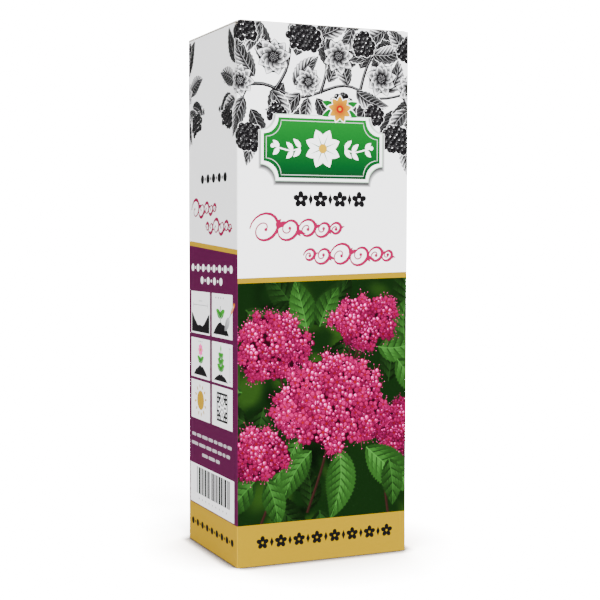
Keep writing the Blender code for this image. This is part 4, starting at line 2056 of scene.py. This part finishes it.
@dataclass
class Studio:
    """Floor, sky, lights and camera."""

    sky: float = 0.62
    clear_sky: float = 20.0
    floor_tone: Ink = (0.84, 0.83, 0.82)
    floor_shine: float = 9.0
    floor_shade: Ink = (0.12, 0.10, 0.088)
    touch_shade: Ink = (0.03, 0.02, 0.015)
    lens: float = 73.972
    camera_at: tuple[float, float, float] = (-0.24642, -0.52845, 0.14562)
    yaw: float = 22.417
    pitch: float = -2.863
    shift: float = 0.1
    lights: tuple[StudioLight, ...] = (
        StudioLight("key", -80.0, 26.0, 8.8, 50.0),
        StudioLight("left_fill", -168.0, 30.0, 1.6, 60.0),
        StudioLight("back_fill", 95.0, 40.0, 3.0, 60.0),
    )

    @staticmethod
    def pair(tree: bpy.types.NodeTree, end: str, kind: str) -> tuple[Nodes, bpy.types.Node, bpy.types.Node]:
        """Lay two shaders into a tree, one that lights the scene and one that the camera sees.

        Args:
            tree: The tree.
            end: Kind of its output node.
            kind: Kind of both shaders.

        Returns:
            The calls for the tree, the shader that lights and the one that is seen.
        """
        tree.nodes.clear()
        make = Nodes(tree)
        real, seen = make.add(kind), make.add(kind)
        blend = make.add("ShaderNodeMixShader")
        rays = make.add("ShaderNodeLightPath").outputs
        for index, socket in enumerate((rays["Is Camera Ray"], real.outputs[0], seen.outputs[0])):
            make.link(socket, blend.inputs[index])
        make.link(blend.outputs[0], make.add(end).inputs["Surface"])
        return make, real, seen

    def floor(self) -> None:
        """Lay the pale floor, which shows brighter to the camera than it lights the carton, with a painted
        shadow near the carton from ambient occlusion.
        """
        bpy.ops.mesh.primitive_plane_add(size=12.0, location=(0, 0, -0.02 * MM))
        floor = bpy.context.active_object
        floor.name = "floor"
        material = bpy.data.materials.new("pale_floor")
        material.use_nodes = True
        make, real, seen = self.pair(material.node_tree, "ShaderNodeOutputMaterial", "ShaderNodeBsdfDiffuse")
        glossy = make.add("ShaderNodeLightPath").outputs["Is Glossy Ray"]
        lit = make.math("SUBTRACT", 1.0, make.math("MULTIPLY", glossy, 0.85))
        make.link(make.tint(lit, self.floor_tone), real.inputs["Color"])
        tone: object = (self.floor_shine,) * 3
        # painted shadow: the camera-seen floor colour is darkened by ambient occlusion near the carton, as a
        # soft shade and a thin contact line
        painted_floor_shadow = tuple(self.floor_shine * part for part in self.floor_shade)
        for reach, power, shade in ((0.06, 2.9, painted_floor_shadow), (0.006, 5.0, self.touch_shade)):
            opened = make.add("ShaderNodeAmbientOcclusion", samples=8)
            opened.inputs["Distance"].default_value = reach
            tone = make.blend(make.math("POWER", opened.outputs["AO"], power), shade, tone)
        make.link(tone, seen.inputs["Color"])
        floor.data.materials.append(material)

    def world(self) -> None:
        """Set an even white sky, brighter where the camera looks straight into it."""
        world = bpy.data.worlds.new("studio")
        bpy.context.scene.world = world
        world.use_nodes = True
        make, soft, clear = self.pair(world.node_tree, "ShaderNodeOutputWorld", "ShaderNodeBackground")
        glossy = make.add("ShaderNodeLightPath").outputs["Is Glossy Ray"]
        dim = make.math("MULTIPLY", glossy, self.sky * 0.8)
        make.link(make.math("SUBTRACT", self.sky, dim), soft.inputs["Strength"])
        clear.inputs["Strength"].default_value = self.clear_sky
        for node in (soft, clear):
            node.inputs["Color"].default_value = (1, 1, 1, 1)

    def camera(self) -> None:
        """Stand the camera where the photograph was taken from."""
        data = bpy.data.cameras.new("camera")
        data.lens, data.sensor_width = self.lens, 36.0
        data.shift_x, data.clip_start = self.shift, 0.01
        camera = bpy.data.objects.new("camera", data)
        bpy.context.scene.collection.objects.link(camera)
        yaw, pitch = math.radians(self.yaw), math.radians(self.pitch)
        ahead = Vector((math.sin(yaw) * math.cos(pitch), math.cos(yaw) * math.cos(pitch), math.sin(pitch)))
        camera.location = self.camera_at
        camera.rotation_euler = ahead.to_track_quat("-Z", "Y").to_euler()
        bpy.context.scene.camera = camera

    def build(self) -> None:
        """Set up the whole studio."""
        self.floor()
        self.world()
        for light in self.lights:
            light.hang()
        self.camera()
        log.info("studio: %d lights, floor, sky and camera", len(self.lights))


def new_group(name: str, inputs: dict[str, float], outputs: Sequence[str]) -> tuple[Nodes, dict, dict, object]:
    """Start a shader node group.

    Args:
        name: Name of the group.
        inputs: Name and default of each number that goes in.
        outputs: Name of each number that comes out.

    Returns:
        The calls for its tree, what comes in, where its results go, and the place on the piece.
    """
    group = bpy.data.node_groups.new(name, "ShaderNodeTree")
    for key, value in inputs.items():
        socket = group.interface.new_socket(name=key, in_out="INPUT", socket_type="NodeSocketFloat")
        socket.default_value = value
    for key in outputs:
        group.interface.new_socket(name=key, in_out="OUTPUT", socket_type="NodeSocketFloat")
    make = Nodes(group)
    source, target = make.add("NodeGroupInput").outputs, make.add("NodeGroupOutput").inputs
    return make, source, target, make.add("ShaderNodeTexCoord").outputs["Object"]


def fold_wear_and_highlight_group() -> bpy.types.NodeTree:
    """Build a mask along the folds and edges, where the print is rubbed thin and a lighter highlight is
    painted.

    Returns:
        A group that puts out a mask, 1 where the print is most worn and the painted highlight is strongest.
    """
    make, source, target, where = new_group("fold_wear_and_highlight", {"Width": 0.0007, "Amount": 0.5}, ["Mask"])
    split = make.add("ShaderNodeSeparateXYZ")
    make.link(where, split.inputs[0])
    x, y, z = split.outputs
    from_x = make.math("SUBTRACT", WIDE / 2 * MM, make.math("ABSOLUTE", x))
    from_y = make.math("SUBTRACT", DEEP / 2 * MM, make.math("ABSOLUTE", y))
    ends = make.math("MINIMUM", z, make.math("SUBTRACT", HIGH * MM, z))
    near = make.math("MINIMUM", make.math("MAXIMUM", from_x, from_y), make.math("MULTIPLY", ends, 1.6))
    uneven = make.math("MULTIPLY_ADD", make.noise(where, 0.0012, 3.0), 1.5, 0.25)
    fall = make.math("DIVIDE", near, make.math("MULTIPLY", source["Width"], uneven))
    fall = make.math("MAXIMUM", make.math("SUBTRACT", 1.0, fall), 0.0)
    held = make.math("MINIMUM", fall, 1.0)
    make.link(make.math("MULTIPLY", held, source["Amount"]), target["Mask"])
    return make.tree


def board_fibre_group() -> bpy.types.NodeTree:
    """Build the look of uncoated board: short pressed fibres and specks.

    Returns:
        A group that puts out a tone around 1 and a height.
    """
    make, source, target, where = new_group("board_fibre", {"Contrast": 0.12}, ["Tone", "Height"])
    stretch = make.add("ShaderNodeMapping")
    stretch.inputs["Scale"].default_value = (1.0, 1.0, 0.35)
    make.link(where, stretch.inputs["Vector"])
    fine = make.noise(stretch.outputs[0], 0.00045, 4.0)
    cloud = make.math("MULTIPLY", make.noise(where, 0.006, 2.0), 0.3)
    centred = make.math("SUBTRACT", make.math("ADD", make.math("MULTIPLY", fine, 0.7), cloud), 0.5)
    contrast = make.math("MULTIPLY", source["Contrast"], 2.0)
    make.link(make.math("MULTIPLY_ADD", centred, contrast, 1.0), target["Tone"])
    make.link(fine, target["Height"])
    return make.tree


def surface_grain_group() -> bpy.types.NodeTree:
    """Build the faint grain of coated board under its varnish.

    Returns:
        A group that puts out a height and a value for the gloss.
    """
    make, source, target, where = new_group("surface_grain", {"Size": 0.0006}, ["Height", "Gloss"])
    node = make.add("ShaderNodeTexNoise")
    make.link(where, node.inputs["Vector"])
    make.link(make.math("DIVIDE", 1.0, source["Size"]), node.inputs["Scale"])
    node.inputs["Detail"].default_value = 3.0
    fine, slow = node.outputs["Fac"], make.noise(where, 0.03, 2.0)
    make.link(make.math("ADD", make.math("MULTIPLY", fine, 0.3), slow), target["Height"])
    make.link(make.math("MULTIPLY_ADD", fine, 0.10, make.math("MULTIPLY", slow, 0.08)), target["Gloss"])
    return make.tree


@dataclass
class Groups:
    """The shared effects, built once."""

    wear_and_highlight: bpy.types.NodeTree = field(default_factory=fold_wear_and_highlight_group)
    fibre: bpy.types.NodeTree = field(default_factory=board_fibre_group)
    grain: bpy.types.NodeTree = field(default_factory=surface_grain_group)


@dataclass(frozen=True)
class Board:
    """What every finish of the carton starts from: a material with the fibres of its board."""

    name: str
    fibre_contrast: float
    raw_roughness: float = 0.86

    def start(self, groups: Groups) -> tuple[bpy.types.Material, Nodes, bpy.types.Node, bpy.types.Node]:
        """Start the material.

        Args:
            groups: The shared effects.

        Returns:
            The material, the calls for its tree, its shader and its fibres.
        """
        material = bpy.data.materials.new(self.name)
        material.use_nodes = True
        make = Nodes(material.node_tree)
        fibre = make.add("ShaderNodeGroup", node_tree=groups.fibre)
        fibre.inputs["Contrast"].default_value = self.fibre_contrast
        return material, make, material.node_tree.nodes["Principled BSDF"], fibre


@dataclass(frozen=True)
class RawBoard(Board):
    """Uncoated board: matt, with fibres."""

    name: str = "raw_board"
    fibre_contrast: float = 0.16

    def make(self, groups: Groups) -> bpy.types.Material:
        """Build the material."""
        material, make, shader, fibre = self.start(groups)
        make.link(make.tint(fibre.outputs["Tone"], RAW_TONE), shader.inputs["Base Color"])
        shader.inputs["Roughness"].default_value = self.raw_roughness
        make.bump(fibre.outputs["Height"], 0.25, 0.12 * MM, shader)
        return material


@dataclass(frozen=True)
class CoatedPrint(Board):
    """Satin coated board whose ink comes from the piece."""

    fibre_contrast: float = 0.14
    roughness: float = 0.46
    specular: float = 0.1
    wear_and_highlight: float = 0.6

    def ink(self, make: Nodes, fibre: bpy.types.Node, groups: Groups) -> tuple[bpy.types.NodeSocket, object]:
        """Read the ink from the piece and lighten it along the folds, as wear and as a painted highlight.

        Args:
            make: The calls for the material's tree.
            fibre: Its fibres; not used here.
            groups: The shared effects.

        Returns:
            The colour and how much of the board is coated, or None where all of it is.
        """
        node = make.add("ShaderNodeAttribute", attribute_name="ink")
        colour = node.outputs["Color"]
        if self.wear_and_highlight > 0:
            wear_and_highlight = make.add("ShaderNodeGroup", node_tree=groups.wear_and_highlight)
            wear_and_highlight.inputs["Amount"].default_value = self.wear_and_highlight
            # painted highlight together with wear: the ink is lightened towards white along the folds and edges
            worn_and_highlit = make.blend(0.012, make.blend(1.0, colour, (1.3, 1.3, 1.3), "MULTIPLY"), (0.90, 0.89, 0.88))
            colour = make.blend(wear_and_highlight.outputs["Mask"], colour, worn_and_highlit)
        return colour, node.outputs["Alpha"]

    def make(self, groups: Groups) -> bpy.types.Material:
        """Build the material."""
        material, make, shader, fibre = self.start(groups)
        grain = make.add("ShaderNodeGroup", node_tree=groups.grain)
        colour, inked = self.ink(make, fibre, groups)
        gloss = make.math("ADD", grain.outputs["Gloss"], self.roughness - 0.09)
        if inked:
            colour = make.blend(inked, make.tint(fibre.outputs["Tone"], RAW_TONE), colour)
            rough = make.add("ShaderNodeMix", data_type="FLOAT")
            make.feed(rough, {0: inked, 2: self.raw_roughness, 3: gloss})
            gloss = rough.outputs[0]
        make.link(colour, shader.inputs["Base Color"])
        make.link(gloss, shader.inputs["Roughness"])
        shader.inputs["Specular IOR Level"].default_value = self.specular
        make.bump(grain.outputs["Height"], 0.12, 0.1 * MM, shader)
        return material


@dataclass(frozen=True)
class PlainCoat(CoatedPrint):
    """Satin coated board in one ink."""

    plain: Ink = INK.paper

    def ink(self, make: Nodes, fibre: bpy.types.Node, groups: Groups) -> tuple[bpy.types.NodeSocket, object]:
        """Return the one ink, a little uneven as the fibres are, and None for a coat without gaps."""
        return make.tint(make.math("MULTIPLY_ADD", fibre.outputs["Tone"], 0.05, 0.95), self.plain), None


class Carton:
    """The whole carton: sleeve, closures and base, with the walls and base on the carton's body."""

    side_top, back_top = 238.2, 239.0
    lid_front, lid_lean = -29.2, 11

    def __init__(self) -> None:
        """Build the shared effects and the materials."""
        groups = Groups()
        self.raw = RawBoard().make(groups)
        walls = (Slot.FRONT, Slot.BACK, Slot.SIDE)
        self.prints = {slot: CoatedPrint(slot.value).make(groups) for slot in walls}
        self.prints[Slot.END] = CoatedPrint(Slot.END.value, wear_and_highlight=0.0).make(groups)
        self.plain = PlainCoat("plain_coated").make(groups)
        self.foot = PlainCoat("foot_print", plain=INK.yellow).make(groups)

    def sleeve(self) -> None:
        """Build the four walls round the printed blank."""
        art = blank_artwork()
        x, y, back = WIDE / 2, DEEP / 2, WIDE + DEEP
        walls = (
            Wall("front_wall", "front_panel", Slot.FRONT, 0.0, WIDE, (-x, -y), (1, 0), (0, -1), HIGH),
            Wall("right_wall", "right_panel", Slot.SIDE, WIDE, DEEP, (x, -y), (0, 1), (1, 0), self.side_top),
            Wall("back_wall", "back_panel", Slot.BACK, back, WIDE, (x, y), (-1, 0), (0, 1), self.back_top),
            Wall("left_wall", "left_panel", Slot.SIDE, -DEEP, DEEP, (-x, y), (0, -1), (-1, 0), self.side_top),
        )
        for wall in walls:
            piece = wall.build(art)
            piece.data.materials.append(self.prints[wall.slot])
            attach(piece, Body.CARTON.value)
            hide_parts(wall.node)

    def lid(self) -> None:
        """Build the lid, which meets the back wall at its crease."""
        piece = Lid().build()
        piece.data.materials.append(self.prints[Slot.END])
        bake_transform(piece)
        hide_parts("lid_panel")
        log.info("lid: %d faces", len(piece.data.polygons))

    def closures(self) -> None:
        """Build the tuck flap and the two dust flaps."""
        right, back, up = Vector((1, 0, 0)), Vector((0, 1, 0)), Vector((0, 0, 1))
        self.add_flap(
            Flap(
                "tuck_tongue", Vector((0, self.lid_front, HIGH)), 40.7, right, -back, up,
                math.pi / 2 + math.radians(self.lid_lean), 14.4, 0.0, 0.0, 7.5,
            ),
            "tuck_flap", Body.LID, Body.TUCK, (0, self.lid_front, HIGH), (0, self.lid_front - 0.9, HIGH - 0.9),
        )
        for side, body in ((-1, Body.DUST_LEFT), (1, Body.DUST_RIGHT)):
            name = body.value.removeprefix("dust_")
            flap = Flap(
                f"dust_tongue_{name}", Vector((side * WIDE / 2, 0.6, self.side_top)), 28.6,
                back, up, side * right, math.pi / 2, 35.4, 3.0, 19.4, 4.8,
            )
            start, end = (side * 42.5, 0, self.side_top), (side * 41.5, 0, self.side_top + 1.0)
            self.add_flap(flap, f"dust_flap_{name}", Body.CARTON, body, start, end)

    def add_flap(
        self, flap: Flap, node: str, holder: Body, body: Body, start: tuple[float, ...], end: tuple[float, ...]
    ) -> None:
        """Build one flap and dress it.

        Args:
            flap: The flap's sizes.
            node: CAD node that it stands for.
            holder: Body on the near side of the crease; not used.
            body: The flap's own body; not used.
            start: Where the bend starts, in mm.
            end: Where the bend ends, in mm.
        """
        piece = flap.build()
        piece.data.materials.append(self.plain)
        piece.data.materials.append(self.raw)
        flap.thicken(piece)
        start, end = (tuple(part * MM for part in spot) for spot in (start, end))
        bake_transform(piece)
        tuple(start)
        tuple(end)
        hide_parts(node)
        log.info("%s: %d faces", flap.name, len(piece.data.polygons))

    def base(self) -> None:
        """Build the glued base panel, nested between the walls' feet."""
        Bench.clear()
        bpy.ops.mesh.primitive_cube_add(size=1.0, location=(0, 0, 0.27 * MM))
        plate = bpy.context.active_object
        plate.name = plate.data.name = "base_plate"
        plate.scale = (82.6 * MM, 59.6 * MM, BOARD * MM)
        bpy.ops.object.transform_apply(location=True, rotation=True, scale=True)
        for side in (1, -1):
            Bench.pick(plate, "EDGE", lambda co: co.y > 29 * MM and side * co.x > 41 * MM)
            bpy.ops.mesh.bevel(offset=1.5 * MM, segments=6, affect="EDGES")
        Bench.pick(plate, "EDGE", lambda co: co.y < -29 * MM and co.z < 0.2 * MM)
        bpy.ops.mesh.bevel(offset=0.4 * MM, segments=4, affect="EDGES")
        bpy.ops.object.mode_set(mode="OBJECT")
        plate.data.materials.append(self.foot)
        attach(plate, Body.CARTON.value)
        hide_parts("base_panel")
        log.info("base: %d faces", len(plate.data.polygons))

    def inner_board(self) -> None:
        """Dress the flaps that keep their own solids in raw board."""
        for name in ("glue_flap", "base_inner_flap", "base_dust_flap_left", "base_dust_flap_right"):
            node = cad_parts[name]
            node.data.materials.clear()
            node.data.materials.append(self.raw)
            log.info("%s: dressed in raw board", name)


def main() -> None:
    """Build the carton and its studio, and note the sizes."""
    logging.basicConfig(level=logging.INFO, format="%(relativeCreated)d ms: %(message)s")
    carton = Carton()
    for step in (carton.sleeve, carton.lid, carton.closures, carton.base, carton.inner_board, Studio().build):
        step()


if __name__ == "__main__":
    main()
